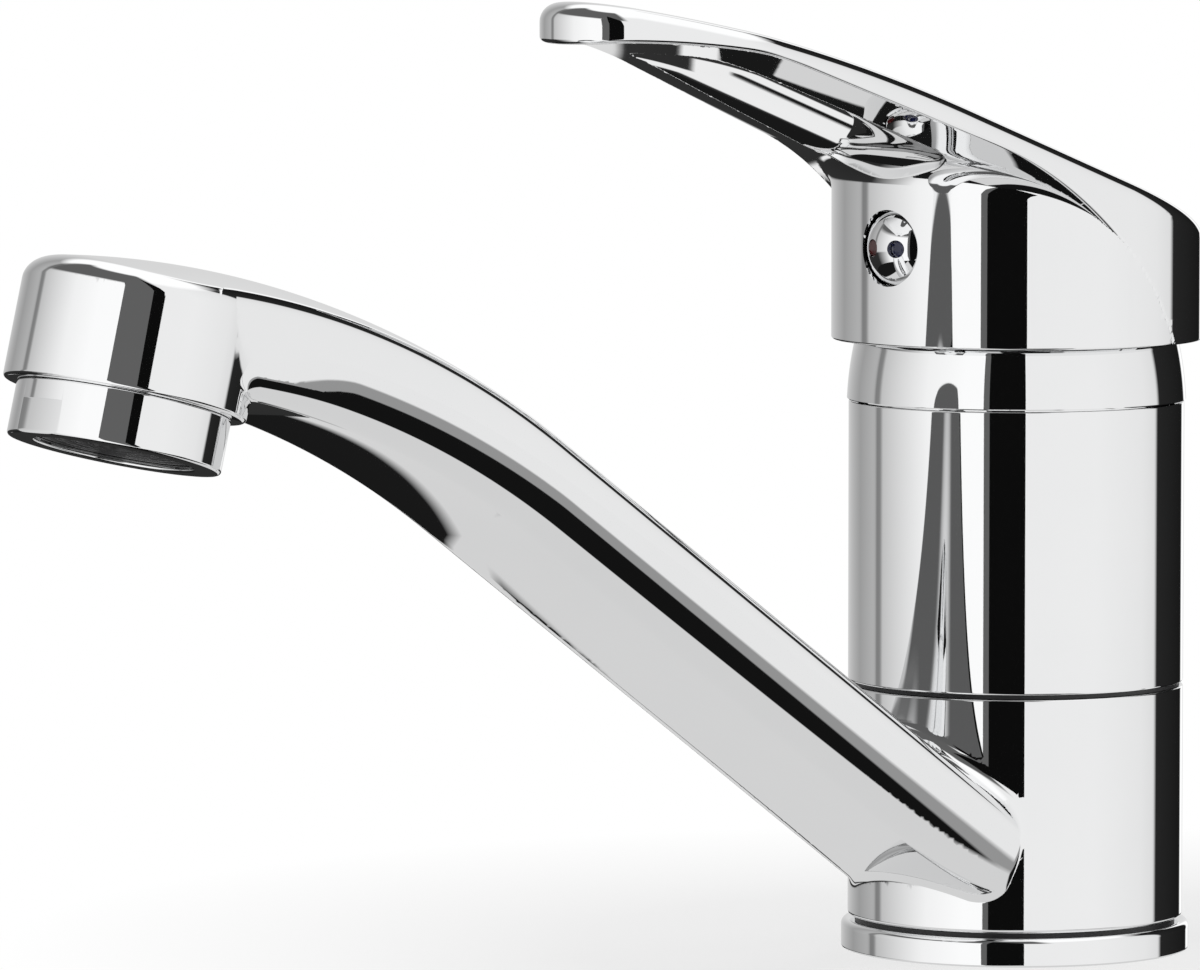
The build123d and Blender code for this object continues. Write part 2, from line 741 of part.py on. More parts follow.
def ring_and_arm():
    """The spout's ring and arm, with a fillet where they meet."""
    ring = cylinder_between(body_radius, ring_bottom_z, ring_top_z)
    ring = fillet(ring.edges().filter_by(GeomType.CIRCLE).group_by(Axis.Z)[0], ring_edge_round)
    joined = ring + arm()
    root = []
    for edge in joined.edges().filter_by(GeomType.BSPLINE):
        reaches = [math.hypot(point.X, point.Y) for point in (edge @ 0, edge @ 0.5, edge @ 1)]
        if max(reaches) - body_radius < RUNNING_FIT:
            root.append(edge)
    return fillet(root, arm_root_round)


def spout():
    head = to_outlet(cylinder_between(head_radius, aerator_collar_height, aerator_collar_height + head_height))
    casting = ring_and_arm() + head
    chamber_top = aerator_collar_height + aerator_thread_height + outlet_gasket_height
    chamber = cylinder_between(aerator_thread_radius + RUNNING_FIT, 0, chamber_top)
    casting -= cylinder_between(column_bore_radius, ring_bottom_z - OVERCUT, ring_top_z + OVERCUT)
    casting -= to_outlet(chamber)
    return casting - waterway()


def aerator_housing():
    top = aerator_collar_height + aerator_thread_height
    housing = cylinder_between(aerator_radius, 0, aerator_collar_height - FACE_GAP)
    housing += cylinder_between(aerator_thread_radius, 0, top)
    housing -= cylinder_between(aerator_bore_radius, aerator_lip_height, top + OVERCUT)
    housing -= cylinder_between(aerator_bore_radius - aerator_lip, -OVERCUT, top)
    flat_reach = aerator_radius - flat_depth
    wide = aerator_radius * 2
    for turn in (0, 180):
        housing -= Rot(0, 0, turn) * block_between((-wide, flat_reach, -OVERCUT), (wide, wide, flat_height))
    return to_outlet(housing)


def aerator_insert():
    outer = aerator_bore_radius - RUNNING_FIT
    top = aerator_lip_height + insert_height
    insert = cylinder_between(outer, aerator_lip_height, top)
    ring_outer = aerator_bore_radius - aerator_lip - insert_ring_wall
    while ring_outer - insert_hub_radius > insert_ring_pitch / 2:
        ring_inner = max(ring_outer - insert_ring_pitch + insert_ring_wall, insert_hub_radius)
        insert -= ring_between(ring_outer, ring_inner, 0, aerator_lip_height + insert_ring_depth)
        ring_outer -= insert_ring_pitch
    half = insert_rib_width / 2
    reach = outer - insert_ring_wall
    for turn in (0, 60, 120):
        rib = block_between((-reach, -half, aerator_lip_height + half), (reach, half, top))
        insert += Rot(0, 0, turn) * rib
    return to_outlet(insert)


def aerator_screen():
    low = aerator_lip_height + insert_height
    screen = cylinder_between(aerator_bore_radius - LOOSE_FIT, low, low + screen_thickness)
    for row in range(1, screen_hole_rows + 1):
        for place in PolarLocations(row * screen_hole_pitch, 6 * row):
            hole = cylinder_between(screen_hole_radius, low - OVERCUT, low + screen_thickness + OVERCUT)
            screen -= place * hole
    return to_outlet(screen)


def outlet_gasket():
    low = aerator_collar_height + aerator_thread_height
    inner = aerator_thread_radius - outlet_gasket_width
    return to_outlet(ring_between(aerator_thread_radius, inner, low, low + outlet_gasket_height))


nodes = {
    "base_ring": base_ring(),
    "base_gasket": base_gasket(),
    "main_body": main_body(),
    "lower_slide_ring": lower_slide_ring(),
    "upper_slide_ring": upper_slide_ring(),
    "lower_spout_seal": spout_seal(lower_seal_z),
    "upper_spout_seal": spout_seal(upper_seal_z),
    "spout": spout(),
    "aerator_housing": aerator_housing(),
    "aerator_insert": aerator_insert(),
    "aerator_screen": aerator_screen(),
    "outlet_gasket": outlet_gasket(),
    "cartridge_base": cartridge_base(),
    "port_seals": port_seals(),
    "fixed_ceramic_disc": fixed_ceramic_disc(),
    "moving_ceramic_disc": moving_ceramic_disc(),
    "disc_carrier": disc_carrier(),
    "cartridge_housing": cartridge_housing(),
    "stem_holder": stem_holder(),
    "pivot_pin": pivot_pin(),
    "lever_stem": lever_stem(),
    "cartridge_nut": cartridge_nut(),
    "dome_cap": dome_cap(),
    "handle": handle(),
    "index_plug": index_plug(),
    "hot_dot": index_dot(-1),
    "cold_dot": index_dot(1),
    "grub_screw": grub_screw(),
}

os.makedirs("parts", exist_ok=True)
for name, shape in nodes.items():
    export_step(shape, f"parts/{name}.step")
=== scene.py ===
import bmesh
import bpy
import math
import numpy as np
from mathutils import Matrix, Vector


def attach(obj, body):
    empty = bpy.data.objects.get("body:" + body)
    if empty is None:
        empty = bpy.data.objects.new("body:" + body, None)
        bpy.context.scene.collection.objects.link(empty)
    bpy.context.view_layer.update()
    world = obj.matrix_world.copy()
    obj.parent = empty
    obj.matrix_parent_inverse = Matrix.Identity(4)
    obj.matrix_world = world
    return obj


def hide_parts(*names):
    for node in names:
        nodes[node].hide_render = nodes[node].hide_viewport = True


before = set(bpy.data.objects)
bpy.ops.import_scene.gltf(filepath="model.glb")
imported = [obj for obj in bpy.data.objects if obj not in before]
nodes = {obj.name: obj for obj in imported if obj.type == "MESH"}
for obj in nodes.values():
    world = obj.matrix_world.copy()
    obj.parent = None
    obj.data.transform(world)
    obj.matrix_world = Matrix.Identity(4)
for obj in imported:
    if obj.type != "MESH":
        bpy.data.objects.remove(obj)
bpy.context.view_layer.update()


# Base gasket and seals.
# Moulded black nitrile. The gasket lies in the base ring's underside, two rings in the column's
# grooves seal the spout ring, and smaller ones seal the cartridge's ports and the aerator.

def new_group(name, inputs, outputs):
    """An empty shader group with float inputs (name: default) and float outputs (names)."""
    tree = bpy.data.node_groups.new(name, "ShaderNodeTree")
    for title, default in inputs.items():
        socket = tree.interface.new_socket(title, in_out="INPUT", socket_type="NodeSocketFloat")
        socket.default_value = default
    for title in outputs:
        tree.interface.new_socket(title, in_out="OUTPUT", socket_type="NodeSocketFloat")
    start = tree.nodes.new("NodeGroupInput")
    end = tree.nodes.new("NodeGroupOutput")
    return tree, start, end


def add_node(tree, kind, inputs=(), **settings):
    """One node with its settings, and its inputs filled from values or linked from sockets."""
    node = tree.nodes.new(kind)
    for name, value in settings.items():
        setattr(node, name, value)
    for name, value in dict(inputs).items():
        if isinstance(value, bpy.types.NodeSocket):
            tree.links.new(value, node.inputs[name])
        else:
            node.inputs[name].default_value = value
    return node


def maths(tree, operation, first, second=0.0):
    """What comes out of one Math node."""
    return add_node(tree, "ShaderNodeMath", {0: first, 1: second}, operation=operation).outputs[0]


def mapped(tree, value, low, high, to_low=0.0, to_high=1.0, clamp=True):
    """A value carried from one range onto another."""
    spans = {"Value": value, "From Min": low, "From Max": high, "To Min": to_low, "To Max": to_high}
    return add_node(tree, "ShaderNodeMapRange", spans, clamp=clamp).outputs["Result"]


def laid_over(tree, below, above, mask):
    """One colour over another: the lower where the mask is 0, the upper where it is 1."""
    mix = add_node(tree, "ShaderNodeMix", {"Factor": mask, "A": below, "B": above}, data_type="RGBA")
    return mix.outputs["Result"]


def noise(tree, where, scale, detail, roughness=0.5):
    inputs = {"Vector": where, "Scale": scale, "Detail": detail, "Roughness": roughness}
    return add_node(tree, "ShaderNodeTexNoise", inputs).outputs["Fac"]


def moulded_grain():
    """Shared by rubber, plastic, ceramic and enamel: a fine grain, and a slow change of tone."""
    tree, start, end = new_group(
        "moulded_grain",
        {"Grain Size": 0.0004, "Patch Size": 0.01},
        ("Grain", "Tone"),
    )
    where = add_node(tree, "ShaderNodeTexCoord").outputs["Object"]
    grain = noise(tree, where, maths(tree, "DIVIDE", 1.0, start.outputs["Grain Size"]), 3.0, 0.6)
    patch = noise(tree, where, maths(tree, "DIVIDE", 1.0, start.outputs["Patch Size"]), 2.0)
    tree.links.new(grain, end.inputs["Grain"])
    tree.links.new(patch, end.inputs["Tone"])
    return tree


grain_group = moulded_grain()


def new_material(name):
    material = bpy.data.materials.new(name)
    material.use_nodes = True
    tree = material.node_tree
    return material, tree, tree.nodes["Principled BSDF"]


def show_finish(tree, shader, tone, roughness, height, depth, strength):
    """Gives a surface its colour and roughness, and its relief from a height pattern."""
    relief = add_node(tree, "ShaderNodeBump", {"Height": height, "Distance": depth, "Strength": strength})
    tree.links.new(tone, shader.inputs["Base Color"])
    tree.links.new(roughness, shader.inputs["Roughness"])
    tree.links.new(relief.outputs["Normal"], shader.inputs["Normal"])


def moulded(name, dark, light, roughness, grain_size, patch_size, relief, coat=0.0):
    """A moulded or pressed surface: two close tones, its grain in roughness and relief."""
    material, tree, shader = new_material(name)
    sizes = {"Grain Size": grain_size, "Patch Size": patch_size}
    grain = add_node(tree, "ShaderNodeGroup", sizes, node_tree=grain_group).outputs
    tone = laid_over(tree, (*dark, 1), (*light, 1), grain["Tone"])
    rough = mapped(tree, grain["Grain"], 0.0, 1.0, *roughness)
    show_finish(tree, shader, tone, rough, grain["Grain"], relief, 0.6)
    shader.inputs["Coat Weight"].default_value = coat
    return material


def finish_nodes(material, *names):
    """CAD pieces whose shape is right as it is get their real finish."""
    for name in names:
        for slot in nodes[name].material_slots:
            slot.material = material


nitrile = moulded(
    "nitrile_rubber", (0.012, 0.012, 0.012), (0.03, 0.03, 0.032), roughness=(0.5, 0.7),
    grain_size=0.0003, patch_size=0.006, relief=0.00002)
finish_nodes(nitrile, "base_gasket", "lower_spout_seal", "upper_spout_seal", "port_seals", "outlet_gasket")


# Base ring.
# A turned brass ring with a round shoulder, polished and chrome plated.
# The column holds it down on the deck.

def polished_plate():
    """What polishing and use leave on bright plate: hazy patches, hairlines and a slow waviness."""
    tree, start, end = new_group(
        "polished_plate",
        {"Haze": 0.02, "Hairlines": 0.02, "Roughness": 0.04},
        ("Roughness", "Wave", "Tone"),
    )
    where = add_node(tree, "ShaderNodeTexCoord").outputs["Object"]
    wave = noise(tree, where, 70.0, 1.0)
    haze = noise(tree, where, 45.0, 5.0, 0.65)
    hazy = mapped(tree, haze, 0.45, 0.75, 0.0, start.outputs["Haze"])
    drawn_out = add_node(tree, "ShaderNodeMapping", {"Vector": where, "Scale": (1.0, 1.0, 14.0)})
    lines = noise(tree, drawn_out.outputs["Vector"], 420.0, 4.0, 0.7)
    scratched = mapped(tree, lines, 0.6, 0.75, 0.0, start.outputs["Hairlines"])
    rough = maths(tree, "ADD", start.outputs["Roughness"], maths(tree, "ADD", hazy, scratched))
    tree.links.new(rough, end.inputs["Roughness"])
    tree.links.new(wave, end.inputs["Wave"])
    tree.links.new(haze, end.inputs["Tone"])
    return tree


plate_group = polished_plate()


def plated(name, dark, light, roughness, haze, hairlines, wave_height):
    """Bright plated or polished metal."""
    material, tree, shader = new_material(name)
    amounts = {"Haze": haze, "Hairlines": hairlines, "Roughness": roughness}
    plate = add_node(tree, "ShaderNodeGroup", amounts, node_tree=plate_group).outputs
    tone = laid_over(tree, (*dark, 1), (*light, 1), plate["Tone"])
    show_finish(tree, shader, tone, plate["Roughness"], plate["Wave"], wave_height, 1.0)
    shader.inputs["Metallic"].default_value = 1.0
    return material


chrome = plated(
    "chrome_plate", (0.87, 0.875, 0.88), (0.91, 0.912, 0.915),
    roughness=0.02, haze=0.012, hairlines=0.01, wave_height=0.000004)

MM = 0.001


def mesh_of(points, faces):
    """A mesh from points in millimetres."""
    mesh = bpy.data.meshes.new("blank")
    mesh.from_pydata([tuple(p) for p in np.asarray(points) * MM], [], faces)
    return mesh


def dress(mesh, name, material, body, replaced):
    """Shades a finished mesh, gives it its material, and sets it on its body in place of its CAD nodes."""
    sharpest_smooth = 32
    mesh.materials.clear()
    mesh.materials.append(material)
    mesh.shade_smooth()
    mesh.set_sharp_from_angle(angle=math.radians(sharpest_smooth))
    piece = bpy.data.objects.new(name, mesh)
    bpy.context.scene.collection.objects.link(piece)
    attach(piece, body)
    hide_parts(*replaced)
    return piece


def rounded_outline(corners):
    """The points of a closed half section. Each corner is (radius, height) or (radius, height, round)."""
    steps = 6
    margin = 0.06  # a point this far outside each round keeps the shading of the flats flat
    outline = []
    for i, corner in enumerate(corners):
        here = np.array(corner[:2], float)
        size = corner[2] if len(corner) > 2 else 0
        if not size:
            outline.append(here)
            continue
        to_last = np.array(corners[i - 1][:2], float) - here
        to_next = np.array(corners[(i + 1) % len(corners)][:2], float) - here
        to_last /= np.linalg.norm(to_last)
        to_next /= np.linalg.norm(to_next)
        half = math.acos(np.clip(to_last @ to_next, -1, 1)) / 2
        cut = size / math.tan(half)
        middle = here + (to_last + to_next) / np.linalg.norm(to_last + to_next) * size / math.sin(half)
        first = here + to_last * cut - middle
        last = here + to_next * cut - middle
        turn = math.pi - 2 * half
        outline.append(here + to_last * (cut + margin))
        for k in range(steps + 1):
            share = k / steps
            spoke = first * math.sin((1 - share) * turn) + last * math.sin(share * turn)
            outline.append(middle + spoke / math.sin(turn))
        outline.append(here + to_next * (cut + margin))
    return outline


def turned(outline, segments=256):
    """Points and faces of a closed half section, (radius, height) outwards, swept round the Z axis."""
    outline = np.array(outline, float)
    angles = np.arange(segments) * (2 * math.pi / segments)
    rings = []
    points = []
    for radius, height in outline:
        if radius < 1e-6:
            rings.append([len(points)])
            points.append((0, 0, height))
        else:
            rings.append(list(range(len(points), len(points) + segments)))
            points.extend((radius * math.cos(a), radius * math.sin(a), height) for a in angles)
    faces = []
    for i, ring in enumerate(rings):
        after = rings[(i + 1) % len(rings)]
        if len(ring) == 1 and len(after) == 1:
            continue
        for k in range(segments):
            m = (k + 1) % segments
            if len(ring) == 1:
                faces.append((ring[0], after[m], after[k]))
            elif len(after) == 1:
                faces.append((ring[k], ring[m], after[0]))
            else:
                faces.append((ring[k], ring[m], after[m], after[k]))
    return np.array(points), faces


base_ring_height = 3.9
base_ring_radius = 23.9
gasket_inset = 1.6
gasket_width = 2.8
gasket_depth = 1.2
column_bore = 17.85
groove_out = base_ring_radius - gasket_inset
base_ring_section = rounded_outline([
    (column_bore, 0, 0.2), (groove_out - gasket_width, 0), (groove_out - gasket_width, gasket_depth),
    (groove_out, gasket_depth), (groove_out, 0), (base_ring_radius, 0, 0.25),
    (base_ring_radius, base_ring_height, 0.9), (column_bore, base_ring_height, 0.2),
])
dress(mesh_of(*turned(base_ring_section)), "base_ring_plated", chrome, "base", ["base_ring"])


# Main body and its column.
# Cast brass, turned and bored for the cartridge; the part above the spout is chrome plated.
# Two hoses and a stud screw into its underside.

def carve(piece_mesh, cutter_points, cutter_faces):
    """The mesh with a closed cutter taken out of it."""
    cutter = bpy.data.objects.new("cutter", mesh_of(cutter_points, cutter_faces))
    blank = bpy.data.objects.new("blank", piece_mesh)
    for item in (cutter, blank):
        bpy.context.scene.collection.objects.link(item)
    cut = blank.modifiers.new("cut", "BOOLEAN")
    cut.operation = "DIFFERENCE"
    cut.solver = "MANIFOLD"
    cut.object = cutter
    depsgraph = bpy.context.evaluated_depsgraph_get()
    result = bpy.data.meshes.new_from_object(blank.evaluated_get(depsgraph))
    for item in (cutter, blank):
        bpy.data.objects.remove(item)
    return result


def round_cutter(radius, low, high, x=0.0, y=0.0, segments=64):
    """Points and faces of an upright round cutter."""
    points, faces = turned([(0, low), (radius, low), (radius, high), (0, high)], segments)
    return points + (x, y, 0), faces


body_radius = 23.0
body_bottom = 36.9
body_top = 75.3
column_radius = 17.8
neck_radius = 21.2
neck_top = 79.3
cartridge_seat = 46.0
cartridge_bore = 17.45
nut_seat = 65.75
nut_bore = 18.95
seal_groove_radius = 15.8
seal_groove_height = 2.7
lower_seal_groove = 6.85
upper_seal_groove = 29.85
water_groove_radius = 15.2
water_groove = 11.8
water_groove_height = 11.0


def groove(radius, bottom, height):
    """The corners of a square groove in the column's wall, from its lower edge to its upper edge."""
    top = bottom + height
    return [(column_radius, bottom), (radius, bottom), (radius, top), (column_radius, top)]


body_section = rounded_outline([
    (0, 0), (column_radius, 0, 0.3),
    *groove(seal_groove_radius, lower_seal_groove, seal_groove_height),
    *groove(water_groove_radius, water_groove, water_groove_height),
    *groove(seal_groove_radius, upper_seal_groove, seal_groove_height),
    (column_radius, body_bottom), (body_radius, body_bottom, 0.25), (body_radius, body_top, 0.2),
    (neck_radius, body_top), (neck_radius, neck_top, 0.3), (nut_bore, neck_top), (nut_bore, nut_seat),
    (cartridge_bore, nut_seat), (cartridge_bore, cartridge_seat), (0, cartridge_seat),
])
body_mesh = mesh_of(*turned(body_section))
port_place = 5.9
port_radius = 4.46
port_depth = 12.0
passage_radius = 3.0
stud_place = 11.48
stud_radius = 3.32
stud_depth = 14.0
through = 1.0
for side in (-1, 1):
    x, y = side * port_place, -port_place
    body_mesh = carve(body_mesh, *round_cutter(port_radius, -through, port_depth, x, y))
    body_mesh = carve(
        body_mesh, *round_cutter(passage_radius, port_depth - through, cartridge_seat + through, x, y))
body_mesh = carve(body_mesh, *round_cutter(stud_radius, -through, stud_depth, 0, stud_place))
dress(body_mesh, "body_plated", chrome, "base", ["main_body"])


# Slide rings.
# Thin black acetal washers that the spout ring turns on, one under it and one over it.

acetal = moulded(
    "black_acetal", (0.018, 0.018, 0.019), (0.032, 0.032, 0.034), roughness=(0.35, 0.5),
    grain_size=0.0002, patch_size=0.008, relief=0.000008)
finish_nodes(acetal, "lower_slide_ring", "upper_slide_ring")


# Swivel spout.
# One hollow brass casting, ground, polished and chrome plated: a ring round the column,
# a rising arm with a crowned top and bowed sides, and a round head tilted back to the body.

def measured(form):
    """A rough depth of points, negative inside, made true: depth in millimetres, and the way out."""
    step = 0.02

    def depth(points):
        rough = form(points)
        out = np.empty_like(points)
        for k in range(3):
            ahead = points.copy()
            ahead[:, k] += step
            behind = points.copy()
            behind[:, k] -= step
            out[:, k] = (form(ahead) - form(behind)) / (2 * step)
        size = np.maximum(np.linalg.norm(out, axis=1), 1e-9)
        return rough / size, out / size[:, None]

    return depth


def kept_in_both(first, second, edge):
    """What two forms share, with the edge between them rounded to a radius."""
    def depth(points):
        a, m = first(points)
        b, n = second(points)
        r = edge(points) if callable(edge) else edge
        c = np.clip((m * n).sum(1), -0.95, 0.9995)  # nearly level forms would ask for an endless round
        u = a + r
        v = b + r
        w = 1 - c * c
        reach = np.sqrt(np.maximum((u * u + v * v - 2 * u * v * c) / w, 1e-12))
        round_it = (u > c * v) & (v > c * u)
        value = np.where(round_it, reach - r, np.maximum(a, b))
        share_m = np.where(round_it, (u - c * v) / (w * reach), a >= b)
        share_n = np.where(round_it, (v - c * u) / (w * reach), a < b)
        out = share_m[:, None] * m + share_n[:, None] * n
        out /= np.maximum(np.linalg.norm(out, axis=1), 1e-9)[:, None]
        return value, out

    return depth


def turned_inside_out(form):
    def depth(points):
        value, out = form(points)
        return -value, -out

    return depth


def joined(first, second, fillet):
    """Two forms cast together, with a fillet where they meet."""
    return turned_inside_out(kept_in_both(turned_inside_out(first), turned_inside_out(second), fillet))


def skin_of(form, low, high, cell):
    """Points and four-sided faces of the surface where a form's depth is zero.

    The form is worked out at every corner of a grid of cells, block by block, and only in the blocks
    that its surface may pass. Each grid line that the surface crosses gets a face between the four
    cells round it, and each cell a point, in the middle of the crossings on its own edges.
    """
    block = 6
    reach = 1.7
    batch_size = 400000
    low = np.array(low, float)
    blocks = np.ceil((np.array(high) - low) / (cell * block)).astype(int)
    grids = np.meshgrid(*[np.arange(n) for n in blocks], indexing="ij")
    corners = np.stack([g.ravel() for g in grids], 1)
    centres = low + (corners + 0.5) * block * cell
    rough = form(centres)[0]
    size = tuple(blocks * block + 1)
    depth = np.full(size, 1.0)
    known = np.zeros(size, bool)
    near = np.abs(rough) < block * cell * reach
    for (i, j, k), value, close in zip(corners * block, rough, near):
        part = (slice(i, i + block + 1), slice(j, j + block + 1), slice(k, k + block + 1))
        if close:
            known[part] = True
        else:
            depth[part] = value
    spots = np.argwhere(known)
    values = np.empty(len(spots))
    for start in range(0, len(spots), batch_size):
        batch = slice(start, start + batch_size)
        values[batch] = form(low + spots[batch] * cell)[0]
    depth[known] = values

    cells = tuple(n - 1 for n in size)
    total = np.zeros((int(np.prod(cells)), 3))
    count = np.zeros(int(np.prod(cells)))
    around = []
    for axis in range(3):
        a = depth.take(range(size[axis] - 1), axis)
        b = depth.take(range(1, size[axis]), axis)
        spots = np.argwhere((a < 0) != (b < 0))
        va = a[tuple(spots.T)]
        vb = b[tuple(spots.T)]
        where = spots.astype(float)
        where[:, axis] += va / (va - vb)
        p, q = [k for k in range(3) if k != axis]
        ring = []
        good = np.ones(len(spots), bool)
        for dp, dq in ((0, 0), (1, 0), (1, 1), (0, 1)):
            at = spots.copy()
            at[:, p] -= dp
            at[:, q] -= dq
            good &= (at >= 0).all(1) & (at < cells).all(1)
            ring.append(at)
        for at in ring:
            index = np.ravel_multi_index(tuple(at[good].T), cells)
            for k in range(3):
                total[:, k] += np.bincount(index, where[good, k], len(total))
            count += np.bincount(index, minlength=len(count))
        quads = np.stack([np.ravel_multi_index(tuple(at[good].T), cells) for at in ring], 1)
        turn = (va[good] > 0) ^ (axis == 1)
        quads[turn] = quads[turn][:, ::-1]
        around.append(quads)
    quads = np.concatenate(around)
    used = np.flatnonzero(count)
    number = np.full(len(count), -1)
    number[used] = np.arange(len(used))
    quads = number[quads]
    points = low + total[used] / count[used][:, None] * cell
    points = settled(points, quads, form, cell)
    return points, quads


def settled(points, quads, form, cell):
    """The points spread evenly over the surface, and drawn exactly onto it."""
    spreading, drawing = 4, 7
    count = len(points)
    links = np.concatenate([quads[:, [i, (i + 1) % 4]] for i in range(4)])
    links = np.concatenate([links, links[:, ::-1]])
    here, there = links.T
    weight = np.bincount(here, minlength=count)[:, None]
    for sweep in range(drawing):
        value, out = form(points)
        points = points - np.clip(value, -cell, cell)[:, None] * out
        if sweep < spreading:
            total = np.stack([np.bincount(here, points[there, k], count) for k in range(3)], 1)
            move = total / weight - points
            move -= (move * out).sum(1)[:, None] * out
            points = points + 0.6 * move
    return points


def halved(quads, count):
    """Two triangles from each four-sided face, cut so that no cut falls on another face's edge."""
    sides = np.sort(np.stack([quads, np.roll(quads, -1, 1)], 2), 2)
    sides = (sides[:, :, 0] * count + sides[:, :, 1]).ravel()
    for sweep in range(3):
        cuts = quads[:, [0, 2]].min(1) * count + quads[:, [0, 2]].max(1)
        both = np.concatenate([cuts, sides])
        _, place, times = np.unique(both, return_inverse=True, return_counts=True)
        doubled = times[place.ravel()[:len(cuts)]] > 1
        quads = np.where(doubled[:, None], np.roll(quads, 1, 1), quads)
    return np.concatenate([quads[:, [0, 1, 2]], quads[:, [0, 2, 3]]])


def refined(quads, points, form, shows_most=None):
    """Triangles of the surface, split along each edge over which the form turns too far for good plate."""
    turn, shortest = math.cos(math.radians(9)), 0.2
    fine_turn, fine_shortest = math.cos(math.radians(2.5)), 0.32
    triangles = halved(quads, len(points))
    for sweep in range(4):
        out = form(points)[1]
        sides = np.sort(np.stack([triangles, np.roll(triangles, -1, 1)], 2), 2)
        keys = sides[:, :, 0] * len(points) + sides[:, :, 1]
        edges, place = np.unique(keys, return_inverse=True)
        place = place.reshape(keys.shape)
        first, second = edges // len(points), edges % len(points)
        length = np.linalg.norm(points[first] - points[second], axis=1)
        bend = (out[first] * out[second]).sum(1)
        split = (bend < turn) & (length > shortest)
        if shows_most:
            fine = shows_most(points)
            split |= fine[first] & fine[second] & (bend < fine_turn) & (length > fine_shortest)
        if not split.any():
            break
        number = np.full(len(edges), -1)
        number[split] = len(points) + np.arange(split.sum())
        middles = (points[first[split]] + points[second[split]]) / 2
        for step in range(4):
            value, way = form(middles)
            middles = middles - np.clip(value, -0.3, 0.3)[:, None] * way
        points = np.concatenate([points, middles])

        # Each triangle is rolled until its split sides come first, and cut up by how many it has.
        mid = number[place]
        marks = (mid >= 0) @ np.array([1, 2, 4])
        roll = np.array([0, 0, 1, 0, 2, 2, 1, 0])[marks]
        order = (np.arange(3)[None, :] + roll[:, None]) % 3
        corner = np.take_along_axis(triangles, order, 1)
        mid = np.take_along_axis(mid, order, 1)
        count = (mid >= 0).sum(1)
        a, b, c = corner.T
        ab, bc, ca = mid.T
        layouts = {
            0: [(a, b, c)],
            1: [(a, ab, c), (ab, b, c)],
            2: [(ab, b, bc), (a, ab, bc), (a, bc, c)],
            3: [(a, ab, ca), (ab, b, bc), (ca, bc, c), (ab, bc, ca)],
        }
        triangles = np.concatenate([
            np.stack(layout, 1)[count == marked] for marked, pieces in layouts.items() for layout in pieces])
    return points, triangles


def shade_by(mesh, form):
    """Sets each corner's normal from the form itself, so that bright plate reflects without ripples.

    Corners that lie off the form, or whose face leans away from it, keep the normal of their face.
    """
    lean = math.cos(math.radians(25))
    off = 0.01
    points = np.empty(len(mesh.vertices) * 3)
    mesh.vertices.foreach_get("co", points)
    points = points.reshape(-1, 3) / MM
    value, out = form(points)
    corner_vertex = np.empty(len(mesh.loops), int)
    mesh.loops.foreach_get("vertex_index", corner_vertex)
    totals = np.empty(len(mesh.polygons), int)
    mesh.polygons.foreach_get("loop_total", totals)
    flat = np.empty(len(mesh.polygons) * 3)
    mesh.polygons.foreach_get("normal", flat)
    face_of_corner = np.repeat(np.arange(len(totals)), totals)
    corner_normal = out[corner_vertex]
    agrees = (corner_normal * flat.reshape(-1, 3)[face_of_corner]).sum(1) > lean
    agrees &= np.abs(value[corner_vertex]) < off
    mesh.normals_split_custom_set(np.where(agrees[:, None], corner_normal, 0.0).tolist())


ring_bottom = 4.4
ring_top = 36.3
arm_root_rise = 20.0
arm_slope = math.radians(33.4)
arm_straight_reach = 100.0
arm_bend = 146.0
arm_depth = 12.8
arm_half_width = (16.5, 15.35)
arm_crown = (4.2, 3.2)
arm_side_radius = 30.0
arm_side_turn = math.radians(19.0)
outlet_reach = 164.0
outlet_drop = 21.6
outlet_tilt = math.radians(15.0)
head_radius = 15.5
rim_height = 7.0
rim_spare = 2.0
arm_overrun = 1.0
side_bow_depth = 12.0
swell_start = 136.0
swell_length = 18.0
swell_share = 0.35


def rising(value, start, length):
    """0 up to a start, then evenly up to 1 over a length."""
    return np.clip((value - start) / length, 0, 1)


def arm_edge(reach):
    """Height of the arm's top edges: a straight rise, then an arc that levels off."""
    straight = np.minimum(reach, arm_straight_reach)
    sine = np.clip(math.sin(arm_slope) - (reach - straight) / arm_bend, -0.99, 0.99)
    rise = arm_bend * (np.sqrt(1 - sine * sine) - math.cos(arm_slope))
    return ring_bottom + arm_root_rise + math.tan(arm_slope) * (straight - body_radius) + rise


outlet_height = float(arm_edge(np.array(outlet_reach))) - outlet_drop


def along_arm(pair, reach):
    share = (reach - body_radius) / (outlet_reach - body_radius)
    return pair[0] + (pair[1] - pair[0]) * share


def to_outlet(points):
    """Points seen from the outlet, with the head's tilted axis as their third axis."""
    y = points[:, 1] + outlet_reach
    z = points[:, 2] - outlet_height
    cosine, sine = math.cos(outlet_tilt), math.sin(outlet_tilt)
    return np.stack([points[:, 0], y * cosine - z * sine, y * sine + z * cosine], 1)


def from_outlet(points):
    points = np.asarray(points, float)
    cosine, sine = math.cos(outlet_tilt), math.sin(outlet_tilt)
    y = points[:, 1] * cosine + points[:, 2] * sine
    z = -points[:, 1] * sine + points[:, 2] * cosine
    return np.stack([points[:, 0], y - outlet_reach, z + outlet_height], 1)


def arm_crown_form(points):
    reach = -points[:, 1]
    half = along_arm(arm_half_width, reach)
    crown = along_arm(arm_crown, reach)
    radius = (half * half + crown * crown) / (2 * crown)
    up = points[:, 2] - arm_edge(reach) + radius - crown
    return np.hypot(points[:, 0], up) - radius


